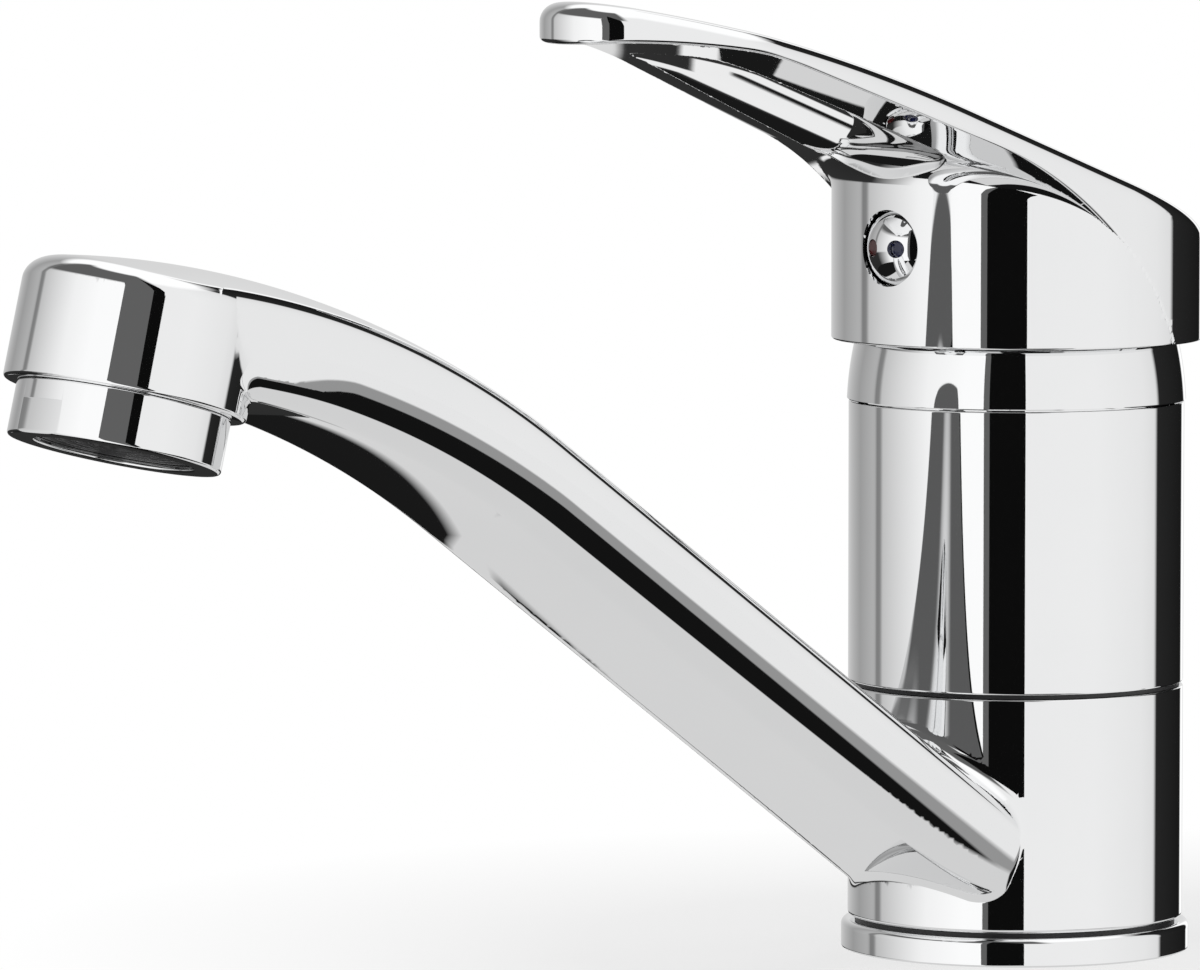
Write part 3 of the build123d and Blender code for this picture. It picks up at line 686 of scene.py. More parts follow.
def arm_sides_form(points):
    """The arm without its top: bowed sides that stand upright towards the head, and a flat bottom."""
    reach = -points[:, 1]
    up = points[:, 2] - arm_edge(reach)
    bow = arm_side_radius - np.sqrt(arm_side_radius**2 - np.clip(up, -side_bow_depth, 0) ** 2)
    into_head = rising(reach, swell_start, swell_length)
    across = np.abs(points[:, 0]) - swell_share * bow * into_head * into_head * (3 - 2 * into_head)
    half = along_arm(arm_half_width, reach)
    corner = (arm_depth - arm_side_radius * math.sin(arm_side_turn)) / (1 - math.sin(arm_side_turn))
    flat_half = half - arm_side_radius * (1 - math.cos(arm_side_turn)) - corner * math.cos(arm_side_turn)
    corner_up = corner - arm_depth
    above = across - half
    side = np.hypot(across - half + arm_side_radius, up) - arm_side_radius
    lower = np.hypot(across - flat_half, up - corner_up) - corner
    bottom = -arm_depth - up
    steep = np.arctan2(corner_up - up, across - flat_half)
    value = np.where(steep > arm_side_turn, lower, side)
    value = np.where((across < flat_half) & (up < 0), np.maximum(bottom, -corner * 2), value)
    return np.where(up > 0, above, value)


def head_form(points):
    local = to_outlet(points)
    side = np.hypot(local[:, 0], local[:, 1]) - head_radius
    return np.maximum(side, rim_height - rim_spare - local[:, 2])


def behind_head_form(points):
    return -to_outlet(points)[:, 1] - arm_overrun


def ring_form(points):
    return np.hypot(points[:, 0], points[:, 1]) - body_radius


def head_fillet(points):
    """The fillet behind the head: nothing at the arm's top edges, full down its sides, slight below them."""
    full = 9.0
    least = 0.05
    below = arm_edge(-points[:, 1]) - points[:, 2]
    behind = rising(to_outlet(points)[:, 1], 2, 3)
    return least + full * behind * rising(below, 0, full) * np.clip((13.2 - below) / 4.0, 0.1, 1)


def top_edge_round(points):
    """The round along the arm's top edges, fuller round the front of the head."""
    return 2.4 + 0.4 * rising(-points[:, 1], 140, 35)


def root_fillet(points):
    """The fillet at the spout ring: full on top, close at the sides, fuller again underneath."""
    up = points[:, 2] - arm_edge(-points[:, 1])
    return 1.1 + 1.2 * rising(up, -1, 3) + 0.8 * rising(-up, 8, 5)


arm_form = kept_in_both(measured(arm_sides_form), measured(behind_head_form), 0.05)
head_and_arm = joined(arm_form, measured(head_form), head_fillet)
crowned_arm = kept_in_both(head_and_arm, measured(arm_crown_form), top_edge_round)
spout_form = joined(crowned_arm, measured(ring_form), root_fillet)


def open_rim(built, inside, plane_point, plane_out):
    """Cuts a mesh with a plane, only among the faces that inside() picks. Gives the open rim's points."""
    built.faces.ensure_lookup_table()
    picked = [face for face in built.faces if inside(face.calc_center_median() / MM)]
    parts = dict.fromkeys(picked)  # in a set their order would change from run to run
    for face in picked:
        parts.update(dict.fromkeys(face.edges))
        parts.update(dict.fromkeys(face.verts))
    cut = bmesh.ops.bisect_plane(
        built, geom=list(parts), dist=1e-7, plane_co=Vector(plane_point) * MM, plane_no=Vector(plane_out),
        clear_outer=True)
    return [item for item in cut["geom_cut"] if isinstance(item, bmesh.types.BMVert)]


def turn_on(built, rim, outline, to_world=None, to_local=None, outwards=1):
    """Carries a round rim on along an outline of (radius, height). Gives its last ring and their angles."""
    local = np.array([v.co[:] for v in rim]) / MM
    if to_local:
        local = to_local(local)
    angle = np.arctan2(local[:, 1], local[:, 0])
    order = np.argsort(angle)
    rim = [rim[i] for i in order]
    angle = angle[order]
    count = len(rim)
    for radius, height in outline:
        row = np.stack([radius * np.cos(angle), radius * np.sin(angle), np.full(count, height)], 1)
        if to_world:
            row = to_world(row)
        fresh = [built.verts.new(p * MM) for p in row]
        for i in range(count):
            j = (i + 1) % count
            quad = (rim[i], rim[j], fresh[j], fresh[i])
            built.faces.new(quad if outwards > 0 else quad[::-1])
        rim = fresh
    return rim, angle


def stitch(built, first, first_angle, second, second_angle):
    """Closes the gap between two rings of points round one axis."""
    i = j = 0
    m, n = len(first), len(second)
    while i < m or j < n:
        next_first = first_angle[i % m] + (2 * math.pi if i >= m else 0)
        next_second = second_angle[j % n] + (2 * math.pi if j >= n else 0)
        if j >= n or (i < m and next_first <= next_second):
            corners = (first[i % m], first[(i + 1) % m], second[j % n])
            i += 1
        else:
            corners = (first[i % m], second[(j + 1) % n], second[j % n])
            j += 1
        built.faces.new(corners)


def quarter(centre, radius, first, last, steps=5):
    """Points of an arc in a half section, after its first point."""
    angles = [math.radians(first + (last - first) * k / steps) for k in range(1, steps + 1)]
    return [(centre[0] + radius * math.cos(a), centre[1] + radius * math.sin(a)) for a in angles]


def where_arm_shows_most(points):
    """Where the arm rolls over its top edges and into ring and head, and plate shows any unevenness."""
    reach = -points[:, 1]
    up = points[:, 2] - arm_edge(reach)
    from_ring = np.hypot(points[:, 0], points[:, 1]) - body_radius
    outside = (np.abs(points[:, 0]) > 12) | (reach > 160)
    rolls = (np.abs(up + 0.6) < 2.4) & outside & (reach > body_radius)
    at_ring = (np.abs(from_ring - 1) < 1.6) & (points[:, 1] < 0) & (up < 1)
    at_head = (reach > 138) & (reach < 156) & (up < -3) & (points[:, 0] > 0)
    return rolls | at_ring | at_head


def opened(points, faces):
    """A surface in millimetres, ready to be cut open and built on."""
    built = bmesh.new()
    for point in points * MM:
        built.verts.new(point)
    built.verts.ensure_lookup_table()
    for face in faces:
        built.faces.new([built.verts[i] for i in face])
    return built


def closed(built, name):
    """The finished mesh, its faces turned outwards."""
    bmesh.ops.recalc_face_normals(built, faces=built.faces)
    mesh = bpy.data.meshes.new(name)
    built.to_mesh(mesh)
    built.free()
    return mesh


def near_ring_top(p):
    return math.hypot(p.x, p.y) < body_radius + 0.4 and p.z > ring_top - 2.3


def near_ring_foot(p):
    return math.hypot(p.x, p.y) < body_radius + 0.4 and p.z < ring_bottom + 3.6


def near_head_rim(p):
    local = to_outlet(np.array([p[:]]))[0]
    return math.hypot(local[0], local[1]) < head_radius + 1 and local[2] < rim_height + rim_spare


ring_round = 0.3
foot_round = 0.6
rim_round = 0.5
chamber_radius = 12.05
chamber_top = 14.3
shortest_side = 0.06
spout_points, spout_quads = skin_of(spout_form, (-24.2, -181, 2.0), (24.2, 24.2, 104), 0.9)
spout_points, spout_faces = refined(spout_quads, spout_points, spout_form, where_arm_shows_most)
casting = opened(spout_points, spout_faces)
# Slivers would show as sparks in the plate, so sides under this length are closed up.
bmesh.ops.dissolve_degenerate(casting, dist=shortest_side * MM, edges=casting.edges)
head_axis = Vector((0, math.sin(outlet_tilt), math.cos(outlet_tilt)))
rim_point = from_outlet([(0, 0, rim_height + rim_round)])[0]
top_rim = open_rim(casting, near_ring_top, (0, 0, ring_top - ring_round), (0, 0, 1))
foot_rim = open_rim(casting, near_ring_foot, (0, 0, ring_bottom + foot_round), (0, 0, -1))
head_rim = open_rim(casting, near_head_rim, rim_point, -head_axis)

# The ring's two rims are rounded, carried into its bore, and meet halfway up it.
bore_middle = (ring_bottom + ring_top) / 2
top_outline = quarter((body_radius - ring_round, ring_top - ring_round), ring_round, 0, 90)
top_outline += [(column_bore + ring_round, ring_top), (column_bore, ring_top - ring_round),
                (column_bore, bore_middle + 1)]
foot_outline = quarter((body_radius - foot_round, ring_bottom + foot_round), foot_round, 0, -90, 8)
foot_outline += [(column_bore + ring_round, ring_bottom), (column_bore, ring_bottom + ring_round),
                 (column_bore, bore_middle - 1)]
top_ring, top_angle = turn_on(casting, top_rim, top_outline)
foot_ring, foot_angle = turn_on(casting, foot_rim, foot_outline, outwards=-1)
stitch(casting, top_ring, top_angle, foot_ring, foot_angle)

# The head's rim goes up into the chamber that holds the aerator.
rim_outline = quarter((head_radius - rim_round, rim_height + rim_round), rim_round, 0, -90)
rim_outline += [(chamber_radius, rim_height), (chamber_radius, chamber_top), (0.5, chamber_top)]
last_ring, _ = turn_on(casting, head_rim, rim_outline, from_outlet, to_outlet, outwards=-1)
casting.faces.new(last_ring[::-1])
spout_mesh = closed(casting, "spout")
dress(spout_mesh, "spout_casting", chrome, "spout_arm", ["spout"])
shade_by(spout_mesh, spout_form)


# Aerator.
# A turned and plated brass housing with two wrench flats screws into the head. It holds a black
# ringed insert and a stainless screen; a gasket seals it.

def at_outlet(mesh):
    """Moves a mesh made along Z onto the outlet."""
    turn = Matrix.Rotation(-outlet_tilt, 4, "X")
    mesh.transform(Matrix.Translation((0, -outlet_reach * MM, outlet_height * MM)) @ turn)
    return mesh


def box_cutter(low, high):
    """Points and faces of a box cutter."""
    x, y, z = zip(low, high)
    points = [(a, b, c) for c in z for b in y for a in x]
    faces = [(0, 2, 3, 1), (4, 5, 7, 6), (0, 1, 5, 4), (2, 6, 7, 3), (0, 4, 6, 2), (1, 3, 7, 5)]
    return points, faces


aerator_radius = 13.65
aerator_bore = 10.9
aerator_lip = 10.2
aerator_lip_height = 0.8
aerator_top = 12.5
flat_reach = 13.15
flat_height = 4.4
thread_radius = 12.0
shoulder_height = rim_height - 0.05
housing_section = rounded_outline([
    (aerator_lip, 0, 0.25), (aerator_radius, 0, 0.45), (aerator_radius, shoulder_height, 0.2),
    (thread_radius, shoulder_height), (thread_radius, aerator_top), (aerator_bore, aerator_top),
    (aerator_bore, aerator_lip_height), (aerator_lip, aerator_lip_height, 0.15),
])
housing_mesh = mesh_of(*turned(housing_section, 192))
for low, high in ((flat_reach, 20), (-20, -flat_reach)):
    housing_mesh = carve(housing_mesh, *box_cutter((-20, low, -1), (20, high, flat_height)))
dress(at_outlet(housing_mesh), "aerator_housing_plated", chrome, "spout_arm", ["aerator_housing"])

steel = plated(
    "stainless_steel", (0.50, 0.50, 0.49), (0.60, 0.60, 0.59),
    roughness=0.25, haze=0.12, hairlines=0.2, wave_height=0.000002)
finish_nodes(steel, "aerator_screen", "pivot_pin", "lever_stem", "grub_screw")

insert_plastic = moulded(
    "outlet_plastic", (0.05, 0.05, 0.051), (0.085, 0.085, 0.088), roughness=(0.3, 0.45),
    grain_size=0.0003, patch_size=0.006, relief=0.00001)


def insert_tree(material):
    """Rings of even pitch on a round floor, crossed by ribs, as nodes with their sizes as inputs."""
    tree = bpy.data.node_groups.new("outlet_insert", "GeometryNodeTree")
    sizes = {
        "Ring Radius": 9.3 * MM, "Ring Pitch": 2.25 * MM, "Ring Wall": 0.9 * MM, "Ring Depth": 3.0 * MM,
        "Face Height": aerator_lip_height * MM, "Rib Width": 0.8 * MM, "Rib Setback": 0.4 * MM,
        "Floor Radius": 10.85 * MM, "Floor Height": 6.4 * MM,
    }
    tree.interface.new_socket("Geometry", in_out="INPUT", socket_type="NodeSocketGeometry")
    for title, value in sizes.items():
        tree.interface.new_socket(title, in_out="INPUT", socket_type="NodeSocketFloat").default_value = value
    for title, value in {"Rings": 4, "Ribs": 3}.items():
        tree.interface.new_socket(title, in_out="INPUT", socket_type="NodeSocketInt").default_value = value
    tree.interface.new_socket("Geometry", in_out="OUTPUT", socket_type="NodeSocketGeometry")
    start = tree.nodes.new("NodeGroupInput").outputs
    end = tree.nodes.new("NodeGroupOutput")

    def vector(x=0.0, y=0.0, z=0.0):
        return add_node(tree, "ShaderNodeCombineXYZ", {"X": x, "Y": y, "Z": z}).outputs[0]

    def moved(geometry, height):
        return add_node(tree, "GeometryNodeTransform", {
            "Geometry": geometry.outputs[0], "Translation": vector(0.0, 0.0, height)})

    ring_middle = maths(tree, "MULTIPLY", start["Ring Depth"], 0.5)
    ring_middle = maths(tree, "ADD", start["Face Height"], ring_middle)
    line = add_node(tree, "GeometryNodeMeshLine", {"Count": start["Rings"], "Offset": (0.0, 0.0, 0.0)})
    number = add_node(tree, "GeometryNodeInputIndex").outputs[0]
    radius = maths(tree, "MULTIPLY", number, start["Ring Pitch"])
    radius = maths(tree, "SUBTRACT", start["Ring Radius"], radius)
    radius = maths(tree, "ADD", radius, maths(tree, "MULTIPLY", start["Ring Wall"], 0.5))
    circle = add_node(tree, "GeometryNodeCurvePrimitiveCircle", {"Resolution": 96, "Radius": 1.0})
    rings = add_node(tree, "GeometryNodeInstanceOnPoints", {
        "Points": line.outputs[0], "Instance": circle.outputs[0], "Scale": vector(radius, radius, 1.0)})
    placed = add_node(tree, "GeometryNodeRealizeInstances", {"Geometry": rings.outputs[0]})
    section = add_node(tree, "GeometryNodeCurvePrimitiveQuadrilateral", {
        "Width": start["Ring Wall"], "Height": start["Ring Depth"]})
    corner = add_node(tree, "GeometryNodeFilletCurve", {
        "Curve": section.outputs[0], "Radius": 0.12 * MM, "Count": 2}, mode="POLY")
    swept = add_node(tree, "GeometryNodeCurveToMesh", {
        "Curve": placed.outputs[0], "Profile Curve": corner.outputs[0]})
    walls = moved(swept, ring_middle)

    rib_height = maths(tree, "SUBTRACT", start["Ring Depth"], start["Rib Setback"])
    rib_length = maths(tree, "MULTIPLY", start["Ring Radius"], 2.0)
    rib_size = vector(rib_length, start["Rib Width"], rib_height)
    rib = add_node(tree, "GeometryNodeMeshCube", {"Size": rib_size})
    rib_line = add_node(tree, "GeometryNodeMeshLine", {"Count": start["Ribs"], "Offset": (0.0, 0.0, 0.0)})
    rib_turn = maths(tree, "DIVIDE", maths(tree, "MULTIPLY", number, math.pi), start["Ribs"])
    ribs = add_node(tree, "GeometryNodeInstanceOnPoints", {
        "Points": rib_line.outputs[0], "Instance": rib.outputs[0], "Rotation": vector(0.0, 0.0, rib_turn)})
    rib_low = maths(tree, "ADD", start["Face Height"], start["Rib Setback"])
    ribs_set = moved(ribs, maths(tree, "ADD", rib_low, maths(tree, "MULTIPLY", rib_height, 0.5)))

    floor_low = maths(tree, "ADD", start["Face Height"], start["Ring Depth"])
    floor_middle = maths(tree, "ADD", floor_low, maths(tree, "MULTIPLY", start["Floor Height"], 0.5))
    disc = add_node(tree, "GeometryNodeMeshCylinder", {
        "Vertices": 96, "Radius": start["Floor Radius"], "Depth": start["Floor Height"]})
    disc_set = moved(disc, floor_middle)
    whole = add_node(tree, "GeometryNodeJoinGeometry")
    for part in (disc_set, ribs_set, walls):
        tree.links.new(part.outputs[0], whole.inputs[0])
    solid = add_node(tree, "GeometryNodeRealizeInstances", {"Geometry": whole.outputs[0]})
    painted = add_node(tree, "GeometryNodeSetMaterial", {"Geometry": solid.outputs[0], "Material": material})
    tree.links.new(painted.outputs[0], end.inputs[0])
    return tree


def grown(name, tree, settings):
    """The mesh that a geometry node tree makes, with its named inputs set."""
    holder = bpy.data.objects.new(name, bpy.data.meshes.new(name))
    bpy.context.scene.collection.objects.link(holder)
    modifier = holder.modifiers.new(name, "NODES")
    modifier.node_group = tree
    sockets = {item.name: item.identifier for item in tree.interface.items_tree if item.in_out == "INPUT"}
    for title, value in settings.items():
        modifier[sockets[title]] = value
    depsgraph = bpy.context.evaluated_depsgraph_get()
    mesh = bpy.data.meshes.new_from_object(holder.evaluated_get(depsgraph))
    bpy.data.objects.remove(holder)
    return mesh


insert_mesh = grown("insert", insert_tree(insert_plastic), {"Rings": 4, "Ribs": 3})
insert_mesh = at_outlet(insert_mesh)
dress(insert_mesh, "ringed_insert", insert_plastic, "spout_arm", ["aerator_insert"])


# Cartridge.
# A 35 mm cartridge: an acetal base and housing, two ceramic discs, and the stem in its holder.
# A brass nut holds it down in the body.

housing_plastic = moulded(
    "cartridge_plastic", (0.55, 0.55, 0.54), (0.66, 0.66, 0.65), roughness=(0.35, 0.5),
    grain_size=0.0004, patch_size=0.008, relief=0.00001)
finish_nodes(housing_plastic, "cartridge_base", "cartridge_housing", "disc_carrier", "stem_holder")
ceramic = moulded(
    "alumina_ceramic", (0.78, 0.76, 0.72), (0.86, 0.85, 0.82), roughness=(0.08, 0.16),
    grain_size=0.0002, patch_size=0.005, relief=0.000001)
finish_nodes(ceramic, "fixed_ceramic_disc", "moving_ceramic_disc")
brass = plated(
    "turned_brass", (0.62, 0.44, 0.19), (0.72, 0.53, 0.26),
    roughness=0.2, haze=0.15, hairlines=0.15, wave_height=0.000003)
finish_nodes(brass, "cartridge_nut")


# Dome cap.
# A spun brass shell, chrome plated, pushed over the body's neck. It fills the gap under the hood.

def arc_through(first, middle, last, steps):
    """Points of the arc through three points of a half section, and its direction at the end."""
    (ax, ay), (bx, by), (cx, cy) = first, middle, last
    d = 2 * (ax * (by - cy) + bx * (cy - ay) + cx * (ay - by))
    ux = ((ax**2 + ay**2) * (by - cy) + (bx**2 + by**2) * (cy - ay) + (cx**2 + cy**2) * (ay - by)) / d
    uy = ((ax**2 + ay**2) * (cx - bx) + (bx**2 + by**2) * (ax - cx) + (cx**2 + cy**2) * (bx - ax)) / d
    start = math.atan2(ay - uy, ax - ux)
    turn = (math.atan2(cy - uy, cx - ux) - start + math.pi) % (2 * math.pi) - math.pi
    radius = math.hypot(ax - ux, ay - uy)
    angles = [start + turn * k / steps for k in range(steps + 1)]
    points = [(ux + radius * math.cos(a), uy + radius * math.sin(a)) for a in angles]
    side = 1 if turn > 0 else -1
    end = start + turn
    return points, (-math.sin(end) * side, math.cos(end) * side)


def arc_onwards(first, direction, last, steps):
    """Points of the arc that leaves the first point in a direction and ends at the last."""
    chord = np.subtract(last, first)
    normal = np.array((-direction[1], direction[0]))
    reach = (chord @ chord) / (2 * (chord @ normal))
    centre = np.add(first, normal * reach)
    spoke = np.subtract(first, centre)
    total = 2 * (math.atan2(chord[1], chord[0]) - math.atan2(direction[1], direction[0]))
    total = (total + math.pi) % (2 * math.pi) - math.pi
    points = []
    for k in range(1, steps + 1):
        c, s = math.cos(total * k / steps), math.sin(total * k / steps)
        points.append((centre[0] + spoke[0] * c - spoke[1] * s, centre[1] + spoke[0] * s + spoke[1] * c))
    return points


dome_bottom = 75.5
dome_top = 86.6
dome_top_radius = 17.5
dome_hole = 15.0
dome_wall = 1.5
dome_foot_radius = 23.24
dome_waist = (23.0, 78.7)
dome_shoulder = (22.2, 83.5)
dome_chamfer = 0.15


def dome_side(inset):
    """The dome's wall from foot to top: an arc past the waist, and a tighter one over the shoulder."""
    side, direction = arc_through(
        (dome_foot_radius - inset, dome_bottom), (dome_waist[0] - inset, dome_waist[1]),
        (dome_shoulder[0] - inset, dome_shoulder[1]), 12)
    return side + arc_onwards(side[-1], direction, (dome_top_radius - inset, dome_top - inset), 20)


dome_section = dome_side(0)
dome_section += [
    (dome_top_radius - 0.1, dome_top), (dome_hole, dome_top), (dome_hole, dome_top - dome_wall)]
dome_section += dome_side(dome_wall)[::-1]
dome_section[0] = (dome_section[0][0] - dome_chamfer, dome_bottom)
dome_section.insert(1, (dome_foot_radius, dome_bottom + dome_chamfer))
dress(mesh_of(*turned(dome_section)), "dome_plated", chrome, "base", ["dome_cap"])


# Lever handle.
# One zinc casting, polished and chrome plated: a hood over the dome, and a paddle that rises to
# the front. It sits on the stem's square, and a grub screw in its front holds it there.

hood_radius = 25.39
hood_inner = 23.6
skirt = 83.8
lever_reaches = (0.0, 60.0, 76.5)
lever_radii = (hood_radius, 17.4, 10.0)
crest_at_axis = 106.2
crest_slope = math.radians(20.4)
crest_straight = 30.0
crest_bend = 290.0
crest_sag = 1.2
rear_wall = 26.15
rear_round = 8.0
under_start = 28.0
under_end = 58.0
under_root_bend = 60.0
under_slope = math.radians(20.8)
under_tip_bend = 80.0
under_height = 16.8
under_crown = 85.0
under_edge = 17.0
pocket_reaches = (30.0, 52.0, 60.0)
pocket_radii = (13.4, 13.4, 9.5)
pocket_end = 24.3
pocket_depth = 1.4
pocket_taper = 0.03
pocket_flat = 4.0
pocket_side_radius = 28.0
paddle_round = 2.4
under_round = 0.7
pocket_corner = 8.0
pocket_roof_round = 0.5
pocket_rim_round = 0.4


def around_circles(x, reach, reaches, radii):
    """Distance in plan from an outline drawn tightly round circles set in a row."""
    best = None
    across = np.abs(x)
    for s1, s2, r1, r2 in zip(reaches, reaches[1:], radii, radii[1:]):
        length = s2 - s1
        sine = (r1 - r2) / length
        cosine = math.sqrt(1 - sine * sine)
        along = reach - s1
        k = along * cosine - across * sine
        value = across * cosine + along * sine - r1
        value = np.where(k < 0, np.hypot(across, along) - r1, value)
        value = np.where(k > cosine * length, np.hypot(across, along - length) - r2, value)
        best = value if best is None else np.minimum(best, value)
    return best


def lever_plan_form(points):
    return around_circles(points[:, 0], -points[:, 1], lever_reaches, lever_radii)


def lever_top_form(points):
    reach = -points[:, 1]
    straight = np.minimum(reach, crest_straight)
    sine = math.sin(crest_slope) - (reach - straight) / crest_bend
    bend = crest_bend * (np.sqrt(1 - sine * sine) - math.cos(crest_slope))
    crest = crest_at_axis + straight * math.tan(crest_slope) + bend
    return points[:, 2] - crest + crest_sag * (points[:, 0] / hood_radius) ** 2


def rear_form(points):
    return points[:, 1] - rear_wall


def above_underside_form(points):
    """All that is above the paddle's crowned underside, which is steep at the hood and level at the tip."""
    reach = -points[:, 1]
    inner = np.minimum(reach - under_start, 0)
    outer = np.clip(reach - under_end, 0, under_tip_bend * math.sin(under_slope))
    straight = np.clip(reach, under_start, under_end)
    root_sine = np.clip(math.sin(under_slope) - inner / under_root_bend, 0, 0.97)
    tip_sine = math.sin(under_slope) - outer / under_tip_bend
    z = skirt + under_height + straight * math.tan(under_slope)
    z += under_root_bend * (np.sqrt(1 - root_sine**2) - math.cos(under_slope))
    z += under_tip_bend * (np.sqrt(1 - tip_sine**2) - math.cos(under_slope))
    z += (points[:, 0] ** 2 - under_edge**2) / (2 * under_crown)
    return z - points[:, 2]


def hood_form(points):
    """The hood, a hair wider than the lever's outline, so that the outline rules at the sides and back."""
    return np.hypot(points[:, 0], points[:, 1]) - hood_radius - 0.02


def under_fillet(points):
    """The fillet between paddle and hood, which runs out at the hood's sides."""
    full = 4.5
    least = 0.05
    turn = np.degrees(np.arctan2(np.abs(points[:, 0]), -points[:, 1]))
    return least + full * np.clip((68 - turn) / 30, 0, 1)


def along_underside(points):
    """How far out a point lies, measured square to the paddle's underside."""
    c, s = math.cos(under_slope), math.sin(under_slope)
    return -points[:, 1] * c * c + (points[:, 2] - skirt - under_height) * c * s


def pocket_plan_form(points):
    return around_circles(points[:, 0], along_underside(points), pocket_reaches, pocket_radii)


def pocket_end_form(points):
    return pocket_end - along_underside(points)


def pocket_roof(points):
    """The underside moved up into the paddle: deepest at the hood, and curved to meet the sides."""
    reach = -points[:, 1]
    side = np.clip(np.abs(points[:, 0]) - pocket_flat, 0, None)
    tapers = (reach > under_start) & (reach < under_end + 10)
    depth = pocket_depth - pocket_taper * np.clip(reach - under_start, 0, 40)
    depth = depth - side**2 / (2 * pocket_side_radius)
    way = np.array((0, math.sin(under_slope), math.cos(under_slope)))
    value, out = under_form(points - depth[:, None] * way)
    change = np.zeros_like(points)
    change[:, 0] = -side / pocket_side_radius * np.sign(points[:, 0])
    change[:, 1] = pocket_taper * tapers
    out = out - (out @ way)[:, None] * change
    size = np.linalg.norm(out, axis=1)
    return -value / size, -out / size[:, None]


def without(first, second, edge):
    return kept_in_both(first, turned_inside_out(second), edge)


top_and_rear = kept_in_both(measured(lever_top_form), measured(rear_form), rear_round)
blank_form = kept_in_both(measured(lever_plan_form), top_and_rear, paddle_round)
under_form = joined(measured(above_underside_form), measured(hood_form), under_fillet)
lever_form = kept_in_both(blank_form, under_form, under_round)
pocket_outline = kept_in_both(measured(pocket_plan_form), measured(pocket_end_form), pocket_corner)
pocket_form = kept_in_both(pocket_outline, pocket_roof, pocket_roof_round)
handle_form = without(lever_form, pocket_form, pocket_rim_round)

handle_points, handle_quads = skin_of(handle_form, (-26.4, -88.5, 80.0), (26.4, 27.6, 135.0), 0.7)
handle_points, handle_faces = refined(handle_quads, handle_points, handle_form)
casting = opened(handle_points, handle_faces)

# The hood's rim is rounded and carried up inside it.
skirt_edge = 0.3
inner_edge = 0.2
cavity_side_top = 92.0
skirt_rim = open_rim(casting, lambda p: p.z < 88, (0, 0, skirt + skirt_edge), (0, 0, -1))
skirt_outline = quarter((hood_radius - skirt_edge, skirt + skirt_edge), skirt_edge, 0, -90)
skirt_outline += [
    (hood_inner + inner_edge, skirt), (hood_inner, skirt + inner_edge), (hood_inner, cavity_side_top)]
cavity_rim, cavity_angle = turn_on(casting, skirt_rim, skirt_outline, outwards=-1)

# Its roof follows the paddle's slope in to the boss on the stem.
boss_radius = 7.5
boss_bottom = 93.0
boss_edge = 0.3
stem_half = 4.05
roof_wall = 3.4
roof_top = 104.5
roof_steps = 8
for k in range(roof_steps + 1):
    radius = hood_inner + (boss_radius - hood_inner) * k / roof_steps
    fresh = []
    for turn in cavity_angle:
        reach = -radius * math.sin(turn)
        roof = min(roof_top, crest_at_axis - roof_wall + reach * math.tan(crest_slope))
        corner = Vector((radius * math.cos(turn), radius * math.sin(turn), roof))
        fresh.append(casting.verts.new(corner * MM))
    for i, corner in enumerate(fresh):
        j = (i + 1) % len(fresh)
        casting.faces.new((cavity_rim[j], cavity_rim[i], corner, fresh[j]))
    cavity_rim = fresh
boss_outline = [
    (boss_radius, boss_bottom + boss_edge), (boss_radius - boss_edge, boss_bottom),
    (stem_half * 1.5, boss_bottom)]
boss_rim, _ = turn_on(casting, cavity_rim, boss_outline, outwards=-1)
casting.faces.new(boss_rim[::-1])
handle_mesh = closed(casting, "handle")

# The index plug's seat is bored into its front.
index_height = 97.1
seat_radius = 5.2
seat_depth = 22.8
seat_points, seat_faces = round_cutter(seat_radius, seat_depth, 40.0, segments=128)
seat_points = np.stack([seat_points[:, 0], -seat_points[:, 2], seat_points[:, 1] + index_height], 1)
handle_mesh = carve(handle_mesh, seat_points, seat_faces)
dress(handle_mesh, "handle_casting", chrome, "lever", ["handle"])
shade_by(handle_mesh, handle_form)


# Index plug.
# A small domed plug, chrome plated, pressed into the hood's front over the grub screw.
# It carries a red dot for hot and a blue dot for cold, filled with enamel whose near-black tone partly
# paints the shade in their recesses.

def to_hood_front(mesh):
    """Turns a mesh made along Z to point out of the hood's front, at the index plug's height."""
    mesh.transform(Matrix.Translation((0, 0, index_height * MM)) @ Matrix.Rotation(math.pi / 2, 4, "X"))
    return mesh


plug_radius = 5.0
plug_rim = 24.3
plug_top = 26.5
dot_radius = 1.2
dot_offset = 2.15
dot_low = 25.15
spigot_radius = 3.9
spigot_end = 20.6
enamel_depth = 0.7
ball = (plug_radius**2 + (plug_top - plug_rim) ** 2) / (2 * (plug_top - plug_rim))
plug_half = math.asin(plug_radius / ball)
plug_turns = [plug_half * k / 16 for k in range(17)]
plug_section = [(ball * math.sin(turn), plug_top - ball + ball * math.cos(turn)) for turn in plug_turns]
plug_section[-1:] = [(plug_radius - 0.08, plug_rim + 0.07), (plug_radius, plug_rim - 0.02)]
plug_section += [
    (plug_radius, seat_depth), (spigot_radius, seat_depth), (spigot_radius, spigot_end), (0, spigot_end)]
plug_mesh = mesh_of(*turned(plug_section[::-1], 128))
for side in (-1, 1):
    plug_mesh = carve(plug_mesh, *round_cutter(dot_radius, dot_low, 30, side * dot_offset, segments=48))
dress(to_hood_front(plug_mesh), "index_plug_plated", chrome, "lever", ["index_plug"])

